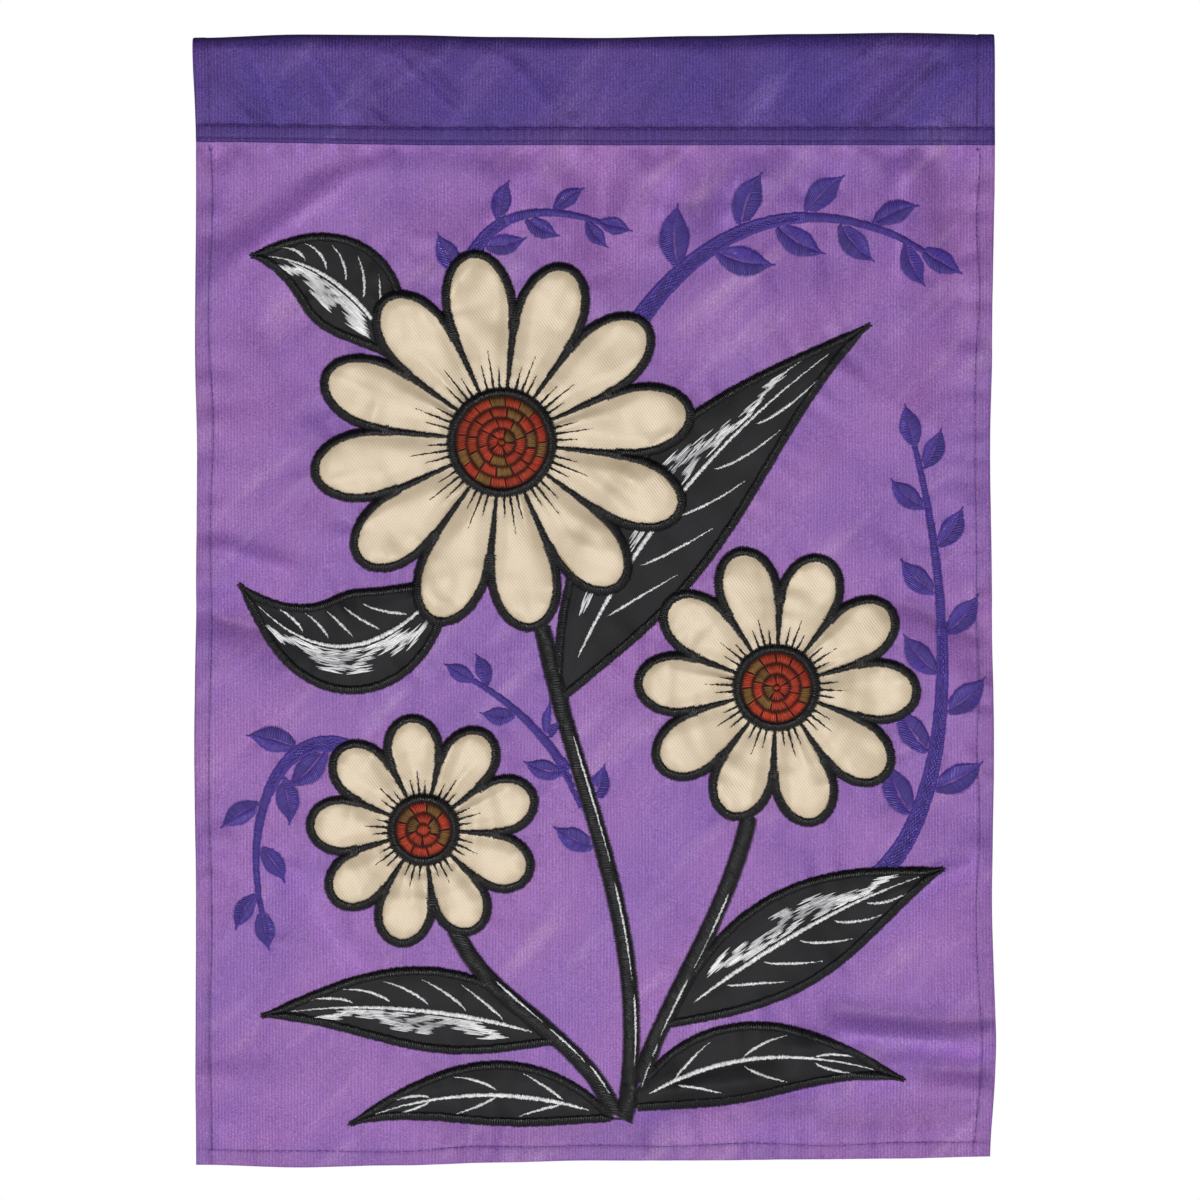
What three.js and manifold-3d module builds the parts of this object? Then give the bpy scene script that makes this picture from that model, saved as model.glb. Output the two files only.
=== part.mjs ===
// A garden flag, hanging as it does from a pole: a hemmed cloth panel, a darker pole sleeve sewn over
// its top edge, and an applique of flowers, leaves and stems with embroidered sprigs behind them.
// Millimetres, +Z up. The front faces -Y. The origin is the middle of the pole's axis in the sleeve.

import * as THREE from "three";
import { mergeVertices } from "three/addons/utils/BufferGeometryUtils.js";
import Module from "manifold-3d";

const wasm = await Module();
wasm.setup();

// Driving dimensions.
const HALF_WIDTH = 163;
const BOTTOM = -455;
const CLOTH = 1.2;
const HEM = { width: 6.5, extra: 0.9, step: 0.5 };
const SLEEVE = { cloth: 1.2, poleRadius: 5, seamTop: -31.8, bottom: -38.8, wallSteps: 4, arcSteps: 8 };
const LEFT_RISE = { height: 1.3, from: -60, over: 100 };
const FIT = 0.3;
const PATCH = 0.9;
const TRIM = 0.45;
const TUCK = 0.5;
const SEAM_CALM = 12;
const CUTTER = 30;
const COLUMNS = 20;
const ROWS = 26;

// How far the two sides wander outwards from straight, at nine heights.
const SIDES = [
  { z: 6, left: 1.0, right: -0.2 },
  { z: -41, left: -0.2, right: 0.2 },
  { z: -122, left: 0.2, right: -1.0 },
  { z: -163, left: -0.6, right: -1.8 },
  { z: -224, left: -0.2, right: -1.0 },
  { z: -285, left: 0.6, right: -0.2 },
  { z: -346, left: -0.2, right: -1.0 },
  { z: -408, left: 0, right: 0.6 },
  { z: -455, left: -0.2, right: -1.8 },
];

// How far the top fold rises over the pole, and how far the bottom hem hangs below its mean height.
const ENDS = [
  { x: -163, lift: -0.8, drop: -0.2 },
  { x: -120, lift: 0.6, drop: 0.8 },
  { x: -80, lift: 0.4, drop: 0 },
  { x: -39, lift: -0.4, drop: -1.2 },
  { x: 2, lift: -0.8, drop: -2.0 },
  { x: 43, lift: 0, drop: -2.0 },
  { x: 84, lift: 0.8, drop: -2.4 },
  { x: 125, lift: 1.3, drop: -2.8 },
  { x: 163, lift: 0.6, drop: -3.6 },
];

// The panel's main folds: soft ridges, or troughs where the height is negative, along straight runs.
const FOLDS = [
  { x0: -84, z0: -41, x1: -147, z1: -90, width: 11, height: 2.4 },
  { x0: -108, z0: -45, x1: -157, z1: -77, width: 14, height: -1.7 },
  { x0: -31, z0: -41, x1: -67, z1: -106, width: 12, height: 2.0 },
  { x0: -2, z0: -41, x1: 2, z1: -73, width: 9, height: -1.6 },
  { x0: 26, z0: -41, x1: 10, z1: -73, width: 8, height: 1.5 },
  { x0: 45, z0: -43, x1: 39, z1: -86, width: 9, height: -1.4 },
  { x0: 67, z0: -41, x1: 59, z1: -102, width: 12, height: 1.8 },
  { x0: 100, z0: -41, x1: 104, z1: -114, width: 14, height: -1.9 },
  { x0: 126, z0: -41, x1: 124, z1: -151, width: 13, height: 1.9 },
  { x0: 151, z0: -45, x1: 151, z1: -114, width: 10, height: -1.7 },
  { x0: -133, z0: -114, x1: -108, z1: -147, width: 10, height: -1.7 },
  { x0: -153, z0: -208, x1: -124, z1: -214, width: 8, height: 1.5 },
  { x0: -160, z0: -230, x1: -118, z1: -241, width: 9, height: -2.3 },
  { x0: 157, z0: -240, x1: 124, z1: -224, width: 9, height: -1.6 },
  { x0: 158, z0: -330, x1: 122, z1: -347, width: 10, height: 1.6 },
  { x0: -141, z0: -347, x1: -149, z1: -404, width: 14, height: -1.8 },
  { x0: -158, z0: -420, x1: -70, z1: -428, width: 15, height: 1.9 },
  { x0: 18, z0: -428, x1: 84, z1: -415, width: 8, height: 1.7 },
  { x0: 84, z0: -407, x1: 161, z1: -403, width: 7, height: 2.1 },
  { x0: 104, z0: -419, x1: 157, z1: -413, width: 8, height: -1.9 },
];

// Slanting creases that the sewing draws into the sleeve's front.
const CREASES = [
  { x0: -146, z0: -2, x1: -120, z1: -28, width: 8, height: -0.8 },
  { x0: -112, z0: -3, x1: -82, z1: -29, width: 7, height: -0.7 },
  { x0: -70, z0: -2, x1: -46, z1: -28, width: 9, height: 0.6 },
  { x0: 8, z0: -4, x1: -16, z1: -28, width: 8, height: -0.7 },
  { x0: 46, z0: -2, x1: 22, z1: -29, width: 8, height: 0.6 },
  { x0: 128, z0: -4, x1: 96, z1: -28, width: 7, height: -0.9 },
  { x0: 156, z0: -6, x1: 130, z1: -27, width: 7, height: 0.7 },
];

// The applique. x is across, v is down from the pole's axis, and an angle of 0 points to +X.
const FLOWERS = [
  { name: "a", x: -38, v: 160, radius: 77, petals: 12, turn: 0.1, disc: 21 },
  { name: "b", x: 74, v: 260, radius: 57, petals: 10, turn: 0.35, disc: 16.5 },
  { name: "c", x: -70, v: 318, radius: 47, petals: 9, turn: 0.05, disc: 13.5 },
];
const LEAVES = [
  { base: [-15, 266], bend: [26, 172], tip: [112, 112], width: 48 },
  { base: [-58, 214], bend: [-104, 268], tip: [-145, 218], width: 40 },
  { base: [-80, 126], bend: [-102, 82], tip: [-140, 84], width: 36 },
  { base: [28, 398], bend: [92, 350], tip: [142, 334], width: 38 },
  { base: [12, 432], bend: [64, 398], tip: [126, 420], width: 30 },
  { base: [-14, 404], bend: [-74, 382], tip: [-136, 394], width: 32 },
  { base: [8, 436], bend: [-46, 414], tip: [-100, 438], width: 24 },
];
const STEMS = [
  { run: [[-24, 220], [-14, 294], [26, 354], [12, 436]], width: 8 },
  { run: [[64, 306], [56, 356], [22, 394], [14, 436]], width: 8 },
  { run: [[-58, 356], [-46, 390], [-4, 400], [9, 436]], width: 8 },
];
const SPRIGS = [
  { run: [[14, 116], [46, 66], [92, 56], [134, 82]], width: 8.5, pairs: 4, leaflet: 30 },
  { run: [[114, 338], [150, 308], [146, 222], [130, 160]], width: 8.5, pairs: 5, leaflet: 28 },
  { run: [[-92, 290], [-122, 266], [-146, 306], [-136, 352]], width: 8, pairs: 3, leaflet: 26 },
  { run: [[8, 348], [0, 308], [-16, 276], [-50, 257]], width: 7.5, pairs: 3, leaflet: 22 },
  { run: [[-56, 116], [-56, 68], [-30, 60], [2, 70]], width: 7.5, pairs: 3, leaflet: 22 },
];
const NOTCH = 0.6;
const UNEVEN = { amount: 0.045, rate: 2.3 };
const LEAF_FORM = { point: 0.35, low: 0.8, slim: 1.25 };
const SPRIG_TIP = 2.6;
const LEAFLET = { first: 0.2, last: 0.94, spread: 0.9, closing: 0.25, shrink: 0.35, end: 0.7 };
const LEAFLET_FORM = { bow: 0.14, width: 0.5 };
const STEPS = { leaf: 14, leaflet: 5, run: 12, petal: 7, disc: 24, heading: 100 };

const COLOURS = {
  panel: 0x8a62aa,
  sleeve: 0x58468a,
  petals: 0xd6c4aa,
  discs: 0x9a4028,
  leaves: 0x2a2a2c,
  sprigs: 0x4a3490,
};

function smooth(t) {
  const c = Math.min(1, Math.max(0, t));
  return c * c * (3 - 2 * c);
}

// The value in a table's column at a place between its rows.
function between(table, key, column, at) {
  const up = table[0][key] < table[table.length - 1][key] ? 1 : -1;
  let i = 1;
  while (i < table.length - 1 && (at - table[i][key]) * up > 0) i += 1;
  const [a, b] = [table[i - 1], table[i]];
  return a[column] + (b[column] - a[column]) * smooth((at - a[key]) / (b[key] - a[key]));
}

// The summed height of soft ridges at a point: each fades with its distance from the ridge's run.
function ridges(table, x, z) {
  let sum = 0;
  for (const f of table) {
    const [dx, dz] = [f.x1 - f.x0, f.z1 - f.z0];
    const share = ((x - f.x0) * dx + (z - f.z0) * dz) / (dx * dx + dz * dz);
    const t = Math.min(1, Math.max(0, share));
    const away = Math.hypot(x - f.x0 - t * dx, z - f.z0 - t * dz);
    sum += f.height * Math.exp(-((away / f.width) ** 2));
  }
  return sum;
}

// How far the panel's cloth stands forward of the flat: nothing in the seam, all of it lower down.
function relief(x, z) {
  const free = smooth((calmBottom - z) / SEAM_CALM);
  return free * ridges(FOLDS, x, z);
}

// A closed solid from a grid of front points and the same grid of back points.
function slab(rows, columns, front, back) {
  const at = (r, c) => r * (columns + 1) + c;
  const total = (rows + 1) * (columns + 1);
  const corners = [...front, ...back].flat();
  const faces = [];
  const quad = (a, b, c, d) => faces.push(a, b, c, a, c, d);
  for (let r = 0; r < rows; r += 1) {
    for (let c = 0; c < columns; c += 1) {
      quad(at(r, c), at(r + 1, c), at(r + 1, c + 1), at(r, c + 1));
      const [a, b, d, e] = [at(r, c), at(r + 1, c), at(r + 1, c + 1), at(r, c + 1)];
      faces.push(total + a, total + d, total + b, total + a, total + e, total + d);
    }
  }
  const wall = (a, b) => quad(a, total + a, total + b, b);
  for (let r = 0; r < rows; r += 1) {
    wall(at(r, 0), at(r + 1, 0));
    wall(at(r + 1, columns), at(r, columns));
  }
  for (let c = 0; c < columns; c += 1) {
    wall(at(0, c + 1), at(0, c));
    wall(at(rows, c), at(rows, c + 1));
  }
  const geometry = new THREE.BufferGeometry();
  geometry.setAttribute("position", new THREE.Float32BufferAttribute(corners, 3));
  geometry.setIndex(faces);
  return geometry;
}

// The panel's grid: evenly spaced lines, with close pairs of lines where the seam and the hems end.
const panelTop = SLEEVE.seamTop - TUCK;
const calmBottom = SLEEVE.bottom - 1;
const panelHeight = panelTop - BOTTOM;
const hemShare = HEM.width / (2 * HALF_WIDTH);
const bareShare = (HEM.width + HEM.step) / (2 * HALF_WIDTH);
const footShare = HEM.width / panelHeight;
const shinShare = (HEM.width + HEM.step) / panelHeight;
const seamShare = (panelTop - calmBottom) / panelHeight;
const across = [0, hemShare];
for (let i = 0; i <= COLUMNS; i += 1) {
  across.push(bareShare + ((1 - 2 * bareShare) * i) / COLUMNS);
}
across.push(1 - hemShare, 1);
const down = [0, seamShare];
for (let i = 0; i <= ROWS; i += 1) {
  const start = seamShare + HEM.step / panelHeight;
  down.push(start + ((1 - shinShare - start) * i) / ROWS);
}
down.push(1 - footShare, 1);

// The grid's point at a share of the width and of the height, before the cloth's folds.
function place(s, f) {
  const straight = -HALF_WIDTH + 2 * HALF_WIDTH * s;
  const foot = BOTTOM - between(ENDS, "x", "drop", straight);
  const z = panelTop + (foot - panelTop) * f;
  const left = -HALF_WIDTH - between(SIDES, "z", "left", z);
  const right = HALF_WIDTH + between(SIDES, "z", "right", z);
  return { x: left + (right - left) * s, z };
}

function hemmed(s, f) {
  return f > seamShare && (s <= hemShare || s >= 1 - hemShare || f >= 1 - footShare);
}

// A sheet on the panel's folds, between two distances in front of the cloth's middle.
function sheet(nearBack, nearFront, thickened) {
  const [front, back] = [[], []];
  for (const f of down) {
    for (const s of across) {
      const { x, z } = place(s, f);
      const y = -relief(x, z);
      const extra = thickened && hemmed(s, f) ? HEM.extra : 0;
      front.push([x, y - nearFront, z]);
      back.push([x, y - nearBack + extra, z]);
    }
  }
  return slab(down.length - 1, across.length - 1, front, back);
}

// Solids for joining and cutting, and back again.
function solid(geometry) {
  const bare = new THREE.BufferGeometry();
  const flat = geometry.index ? geometry.toNonIndexed() : geometry;
  bare.setAttribute("position", flat.getAttribute("position"));
  const merged = mergeVertices(bare, 1e-4);
  const vertProperties = merged.attributes.position.array;
  const triVerts = new Uint32Array(merged.index.array);
  return new wasm.Manifold(new wasm.Mesh({ numProp: 3, vertProperties, triVerts }));
}

function geometryOf(made) {
  const { vertProperties, triVerts } = made.getMesh();
  const geometry = new THREE.BufferGeometry();
  geometry.setAttribute("position", new THREE.BufferAttribute(vertProperties, 3));
  geometry.setIndex(new THREE.BufferAttribute(triVerts, 1));
  return geometry;
}

// A cutter along Y of an outline whose points are [x, v].
function cutter(outline) {
  const shape = new THREE.Shape(outline.map(([x, v]) => new THREE.Vector2(x, -v)));
  const geometry = new THREE.ExtrudeGeometry(shape, { depth: CUTTER, bevelEnabled: false });
  geometry.rotateX(Math.PI / 2).translate(0, CUTTER / 2, 0);
  return solid(geometry);
}

// An outline moved outwards by a distance. The outline runs the same way round as its area's sign.
function grown(outline, by) {
  const n = outline.length;
  let area = 0;
  outline.forEach(([x, v], i) => {
    const [x2, v2] = outline[(i + 1) % n];
    area += x * v2 - x2 * v;
  });
  const side = Math.sign(area);
  const normal = ([ax, av], [bx, bv]) => {
    const long = Math.hypot(bx - ax, bv - av) || 1;
    return [(side * (bv - av)) / long, (-side * (bx - ax)) / long];
  };
  return outline.map((p, i) => {
    const before = normal(outline[(i + n - 1) % n], p);
    const after = normal(p, outline[(i + 1) % n]);
    const sum = [before[0] + after[0], before[1] + after[1]];
    const long = Math.hypot(...sum) || 1;
    const facing = Math.max(0.5, (sum[0] * after[0] + sum[1] * after[1]) / long);
    return [p[0] + (sum[0] / long / facing) * by, p[1] + (sum[1] / long / facing) * by];
  });
}

// Points along a curve through control points [x, v].
function curve(points, steps) {
  const at = points.map(([x, v]) => new THREE.Vector3(x, v, 0));
  const made =
    at.length === 3 ? new THREE.QuadraticBezierCurve3(...at) : new THREE.CubicBezierCurve3(...at);
  return made.getPoints(steps).map(({ x, y }) => [x, y]);
}

// The outline of a band along a line, with a half width at each of its points.
function band(line, half) {
  const last = line.length - 1;
  const [one, other] = [[], []];
  line.forEach(([x, v], i) => {
    const a = line[Math.max(0, i - 1)];
    const b = line[Math.min(last, i + 1)];
    const long = Math.hypot(b[0] - a[0], b[1] - a[1]);
    const [nx, nv] = [-(b[1] - a[1]) / long, (b[0] - a[0]) / long];
    one.push([x + nx * half[i], v + nv * half[i]]);
    other.push([x - nx * half[i], v - nv * half[i]]);
  });
  return [...one, ...other.reverse()];
}

// A leaf's outline: widest below its middle and pointed at both ends.
function leafOutline({ base, bend, tip, width }, steps) {
  const line = curve([base, bend, tip], steps);
  const half = line.map((_, i) => {
    const full = Math.max(0, Math.sin(Math.PI * (i / steps) ** LEAF_FORM.low));
    return Math.max(LEAF_FORM.point, (width / 2) * full ** LEAF_FORM.slim);
  });
  return band(line, half);
}

// A flower's outline: rounded petals of slightly uneven length, parted by deep notches.
function flowerOutline({ x, v, radius, petals, turn }) {
  const outline = [];
  for (let i = 0; i < petals; i += 1) {
    const length = 1 + UNEVEN.amount * Math.sin(UNEVEN.rate * i + radius);
    for (let j = 0; j < STEPS.petal; j += 1) {
      const f = (1 - Math.cos((Math.PI * j) / STEPS.petal)) / 2;
      const angle = turn + (2 * Math.PI * (i + f)) / petals;
      const reach = NOTCH + (1 - NOTCH) * Math.sqrt(Math.sin(Math.PI * f)) * length;
      outline.push([x + radius * reach * Math.cos(angle), v + radius * reach * Math.sin(angle)]);
    }
  }
  return outline;
}

function discOutline({ x, v, disc }) {
  const outline = [];
  for (let i = 0; i < STEPS.disc; i += 1) {
    const angle = (2 * Math.PI * i) / STEPS.disc;
    outline.push([x + disc * Math.cos(angle), v + disc * Math.sin(angle)]);
  }
  return outline;
}

// A sprig: a tapering stalk with leaflets on alternate sides and one at its end.
function sprigOutlines({ run, width, pairs, leaflet }) {
  const line = curve(run, STEPS.run);
  const half = line.map((_, i) => (width + ((SPRIG_TIP - width) * i) / STEPS.run) / 2);
  const outlines = [band(line, half)];
  const fine = curve(run, STEPS.heading);
  const heading = (i) => Math.atan2(fine[i + 1][1] - fine[i - 1][1], fine[i + 1][0] - fine[i - 1][0]);
  for (let j = 0; j < 2 * pairs; j += 1) {
    const t = LEAFLET.first + ((LEAFLET.last - LEAFLET.first) * j) / (2 * pairs - 1);
    const i = Math.round(t * STEPS.heading);
    const side = j % 2 ? 1 : -1;
    const angle = heading(i) + side * LEAFLET.spread * (1 - LEAFLET.closing * t);
    outlines.push(leafletOutline(fine[i], angle, side, leaflet * (1 - LEAFLET.shrink * t)));
  }
  const end = STEPS.heading - 2;
  outlines.push(leafletOutline(fine[end], heading(end), 0, leaflet * LEAFLET.end));
  return outlines;
}

function leafletOutline([x, v], angle, side, long) {
  const tip = [x + long * Math.cos(angle), v + long * Math.sin(angle)];
  const bow = LEAFLET_FORM.bow * long * side;
  const bend = [(x + tip[0]) / 2 - bow * Math.sin(angle), (v + tip[1]) / 2 + bow * Math.cos(angle)];
  return leafOutline({ base: [x, v], bend, tip, width: long * LEAFLET_FORM.width }, STEPS.leaflet);
}

const join = (solids) => solids.reduce((all, next) => all.add(next));

// The largest body of a cut solid, so that no crumb is left where a patch runs under another.
function whole(made) {
  return made.decompose().reduce((a, b) => (a.volume() >= b.volume() ? a : b));
}

// The pole sleeve: one strip of cloth folded over the pole, its two edges gripping the panel's top.
function sleeveGeometry() {
  const { cloth, poleRadius, seamTop, bottom, wallSteps, arcSteps } = SLEEVE;
  const grip = CLOTH / 2 + FIT + cloth / 2;
  const middle = poleRadius + cloth / 2;
  const path = (x) => {
    const rise = LEFT_RISE.height * smooth((LEFT_RISE.from - x) / LEFT_RISE.over);
    const lift = between(ENDS, "x", "lift", x);
    const wall = [[grip, bottom + rise], [grip, seamTop + rise]];
    for (let i = 1; i <= wallSteps; i += 1) {
      const t = i / wallSteps;
      wall.push([grip + (middle - grip) * t, (seamTop + rise) * (1 - t)]);
    }
    const over = [];
    for (let i = 1; i < arcSteps; i += 1) {
      const a = (Math.PI * i) / arcSteps;
      over.push([middle * Math.cos(a), (middle + lift) * Math.sin(a)]);
    }
    const front = wall.map(([y, z], i) => {
      const dent = i > 1 && i < wall.length - 1 ? ridges(CREASES, x, z) : 0;
      return [-y - dent, z];
    });
    return [...wall, ...over, ...front.reverse()];
  };
  const rings = [];
  for (let k = 0; k <= COLUMNS; k += 1) {
    const straight = -HALF_WIDTH + (2 * HALF_WIDTH * k) / COLUMNS;
    const side = Math.sign(straight);
    const outward = k === 0 || k === COLUMNS ? side : 0;
    const line = path(straight);
    const outline = band(line, line.map(() => cloth / 2));
    const reach = (z) => outward * between(SIDES, "z", side < 0 ? "left" : "right", z);
    rings.push(outline.map(([y, z]) => [straight + reach(z), y, z]));
  }
  return loft(rings);
}

// A closed solid through rings of equal counts, each ring a strip of cloth seen end on.
function loft(rings) {
  const around = rings[0].length;
  const faces = [];
  for (let k = 0; k + 1 < rings.length; k += 1) {
    for (let i = 0; i < around; i += 1) {
      const [a, b] = [k * around + i, k * around + ((i + 1) % around)];
      faces.push(a, a + around, b + around, a, b + around, b);
    }
  }
  const last = (rings.length - 1) * around;
  for (let i = 0; i + 1 < around / 2; i += 1) {
    const [a, b, c, d] = [i, i + 1, around - 2 - i, around - 1 - i];
    faces.push(a, b, c, a, c, d);
    faces.push(last + a, last + c, last + b, last + a, last + d, last + c);
  }
  const geometry = new THREE.BufferGeometry();
  geometry.setAttribute("position", new THREE.Float32BufferAttribute(rings.flat(2), 3));
  geometry.setIndex(faces);
  return geometry;
}

const flag = new THREE.Group();
function add(name, geometry, color, roughness = 0.7) {
  const material = new THREE.MeshStandardMaterial({ color, roughness, metalness: 0 });
  const mesh = new THREE.Mesh(geometry, material);
  mesh.name = name;
  flag.add(mesh);
}

// The cloth and its sleeve.
add("panel", sheet(-CLOTH / 2, CLOTH / 2, true), COLOURS.panel, 0.6);
add("pole_sleeve", sleeveGeometry(), COLOURS.sleeve, 0.6);

// The layers that the applique lies in: patches on the cloth, then the flowers' discs on the petals.
const firstBack = CLOTH / 2 + FIT;
const patchLayer = solid(sheet(firstBack, firstBack + PATCH, false));
const secondBack = firstBack + PATCH + FIT;
const discLayer = solid(sheet(secondBack, secondBack + PATCH, false));

// The flowers lie uppermost, and each patch below them is cut back from those above it.
let above = null;
function cover(outlines) {
  const cut = join(outlines.map((outline) => cutter(grown(outline, TRIM))));
  above = above ? above.add(cut) : cut;
}
function patch(name, outlines, color) {
  const shape = join(outlines.map(cutter));
  const trimmed = above ? shape.subtract(above) : shape;
  add(name, geometryOf(whole(trimmed.intersect(patchLayer))), color);
}

for (const flower of FLOWERS) {
  patch(`flower_${flower.name}`, [flowerOutline(flower)], COLOURS.petals);
  const disc = cutter(discOutline(flower)).intersect(discLayer);
  add(`disc_${flower.name}`, geometryOf(disc), COLOURS.discs);
}
FLOWERS.forEach((flower) => cover([flowerOutline(flower)]));

const stems = STEMS.map(({ run, width }) => {
  const line = curve(run, STEPS.run);
  return band(line, line.map(() => width / 2));
});
patch("stems", stems, COLOURS.leaves);
cover(stems);

LEAVES.forEach((leaf, i) => {
  const outline = leafOutline(leaf, STEPS.leaf);
  patch(`leaf_${i + 1}`, [outline], COLOURS.leaves);
  cover([outline]);
});

SPRIGS.forEach((sprig, i) => {
  patch(`sprig_${i + 1}`, sprigOutlines(sprig), COLOURS.sprigs);
});

export default flag;
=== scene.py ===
"""A garden flag as it hangs from a pole: the cloth, the sleeve, the applique and its stitching.

Sizes are in millimetres in the part's own frame and become metres where a mesh is made. x runs across
and z up, and the front faces -Y. A height is how far something stands in front of the cloth's middle.
"""

import math
from functools import reduce
from types import SimpleNamespace as Values

import bpy
import numpy as np
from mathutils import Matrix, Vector
from mathutils.kdtree import KDTree


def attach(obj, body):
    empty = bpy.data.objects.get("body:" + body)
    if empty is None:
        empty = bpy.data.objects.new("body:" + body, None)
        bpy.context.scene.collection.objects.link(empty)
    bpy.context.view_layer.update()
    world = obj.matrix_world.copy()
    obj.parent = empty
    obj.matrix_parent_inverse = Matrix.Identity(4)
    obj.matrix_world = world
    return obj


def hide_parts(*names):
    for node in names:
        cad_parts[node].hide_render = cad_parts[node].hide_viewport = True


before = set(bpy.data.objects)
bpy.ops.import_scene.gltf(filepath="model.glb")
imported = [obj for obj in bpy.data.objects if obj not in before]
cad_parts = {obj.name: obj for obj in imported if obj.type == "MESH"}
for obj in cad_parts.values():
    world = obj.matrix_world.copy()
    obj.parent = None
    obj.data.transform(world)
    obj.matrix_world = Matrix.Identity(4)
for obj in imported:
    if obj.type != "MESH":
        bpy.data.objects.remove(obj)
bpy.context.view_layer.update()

MM = 0.001
TURN = 2 * math.pi


def table(text):
    """A table's columns as arrays, by the names in its first row."""
    names, *rows = (row.split() for row in text.strip().splitlines())
    return dict(zip(names, np.array(rows, float).T))


def records(columns, *rows):
    """A table's rows, each with its values by name."""
    return [Values(**dict(zip(columns.split(), row))) for row in rows]


# The cloth, with the solid model's own outline and folds.
HALF_WIDTH = 163.0
BOTTOM = -455.0
PANEL_TOP = -32.3
CALM_BOTTOM = -39.8
SEAM_CALM = 12.0
CLOTH = 0.5
FACE = CLOTH / 2
HEM = Values(width=6.8, extra=0.45, seam=6.2, fold=0.8, rise=0.12)

# How far the two sides wander outwards from straight, by depth below the pole's axis.
SIDES = table("""
depth left right
-6 1.0 -0.2
41 -0.2 0.2
122 0.2 -1.0
163 -0.6 -1.8
224 -0.2 -1.0
285 0.6 -0.2
346 -0.2 -1.0
408 0 0.6
455 -0.2 -1.8
""")

# How far the top fold rises over the pole, and how far the bottom hem hangs below its mean height.
ENDS = table("""
x lift drop
-163 -0.8 -0.2
-120 0.6 0.8
-80 0.4 0
-39 -0.4 -1.2
2 -0.8 -2.0
43 0 -2.0
84 0.8 -2.4
125 1.3 -2.8
163 0.6 -3.6
""")

# Soft ridges along straight runs, or troughs where the height is negative.
FOLDS = table("""
x0 z0 x1 z1 width height
-84 -41 -147 -90 11 2.4
-108 -45 -157 -77 14 -1.7
-31 -41 -67 -106 12 2.0
-2 -41 2 -73 9 -1.6
26 -41 10 -73 8 1.5
45 -43 39 -86 9 -1.4
67 -41 59 -102 12 1.8
100 -41 104 -114 14 -1.9
126 -41 124 -151 13 1.9
151 -45 151 -114 10 -1.7
-133 -114 -108 -147 10 -1.7
-153 -208 -124 -214 8 1.5
-160 -230 -118 -241 9 -2.3
157 -240 124 -224 9 -1.6
158 -330 122 -347 10 1.6
-141 -347 -149 -404 14 -1.8
-158 -420 -70 -428 15 1.9
18 -428 84 -415 8 1.7
84 -407 161 -403 7 2.1
104 -419 157 -413 8 -1.9
""")
CREASES = table("""
x0 z0 x1 z1 width height
-146 -2 -120 -28 8 -0.8
-112 -3 -82 -29 7 -0.7
-70 -2 -46 -28 9 0.6
8 -4 -16 -28 8 -0.7
46 -2 22 -29 8 0.6
128 -4 96 -28 7 -0.9
156 -6 130 -27 7 0.7
""")

# Narrow crests and troughs, too fine for the solid model, on the panel and on the sleeve.
PANEL_CRESTS = table("""
x0 z0 x1 z1 width height
-88 -42 -141 -82 5 1.3
-24 -42 -56 -96 5 1.2
37 -42 27 -66 4.5 1.2
60 -42 52 -76 4.5 1.2
48 -43 42 -66 4 -0.9
126 -44 124 -88 4.5 1.0
140 -44 142 -80 5 -0.9
-150 -204 -128 -211 4 1.0
-152 -232 -122 -238 4 -1.2
-130 -330 -98 -372 6 0.9
155 -238 128 -226 4 -1.2
156 -331 134 -340 4 1.0
36 -424 90 -420 4.5 1.3
30 -434 88 -429 5 -1.0
-64 -440 22 -441 6 -1.0
98 -436 150 -433 6 -1.0
109 -423 131 -415 4 1.1
102 -400 158 -409 4 1.6
98 -391 156 -397 5 -1.2
108 -411 157 -417 4.5 -1.1
""")
SLEEVE_CRESTS = table("""
x0 z0 x1 z1 width height
-152 -12 -137 -26 4 -0.9
-141 -1 -129 -26 3.5 0.8
-117 -1 -101 -28 3.5 0.8
-96 -4 -86 -27 3.5 -0.6
-84 -1 -54 -29 3.5 0.8
-74 -4 -48 -30 3.5 -0.8
-41 -1 -20 -22 4 0.7
-30 -1 -10 -24 3.5 -0.6
12 -1 2 -25 4 0.6
36 -3 20 -28 3.5 -0.7
60 -9 54 -21 5 -0.6
84 -1 70 -24 3.5 0.7
110 -3 90 -20 3.5 0.7
130 -2 102 -27 3.5 0.8
138 -4 110 -30 3.5 -1.0
147 -9 131 -30 3.5 0.8
""")

# The applique. A point is across and down from the pole's axis.
FLOWERS = records(
    "name x v radius petals turn disc",
    ("a", -38, 160, 77, 12, 0.1, 21),
    ("b", 74, 260, 57, 10, 0.35, 16.5),
    ("c", -70, 318, 47, 9, 0.05, 13.5),
)
LEAVES = records(
    "base bend tip width",
    ((-15, 266), (26, 172), (112, 112), 48),
    ((-58, 214), (-104, 268), (-145, 218), 40),
    ((-80, 126), (-102, 82), (-140, 84), 36),
    ((28, 398), (92, 350), (142, 334), 38),
    ((12, 432), (64, 398), (126, 420), 30),
    ((-14, 404), (-74, 382), (-136, 394), 32),
    ((8, 436), (-46, 414), (-100, 438), 24),
)
STEMS = records(
    "run width",
    (((-24, 220), (-14, 294), (26, 354), (12, 436)), 8),
    (((64, 306), (56, 356), (22, 394), (14, 436)), 8),
    (((-58, 356), (-46, 390), (-4, 400), (9, 436)), 8),
)
SPRIGS = records(
    "run width pairs leaflet",
    (((14, 116), (46, 66), (92, 56), (134, 82)), 8.5, 4, 30),
    (((114, 338), (150, 308), (146, 222), (130, 160)), 8.5, 5, 28),
    (((-92, 290), (-122, 266), (-146, 306), (-136, 352)), 8, 3, 26),
    (((8, 348), (0, 308), (-16, 276), (-50, 257)), 7.5, 3, 22),
    (((-56, 116), (-56, 68), (-30, 60), (2, 70)), 7.5, 3, 22),
)
NOTCH = 0.6
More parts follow.
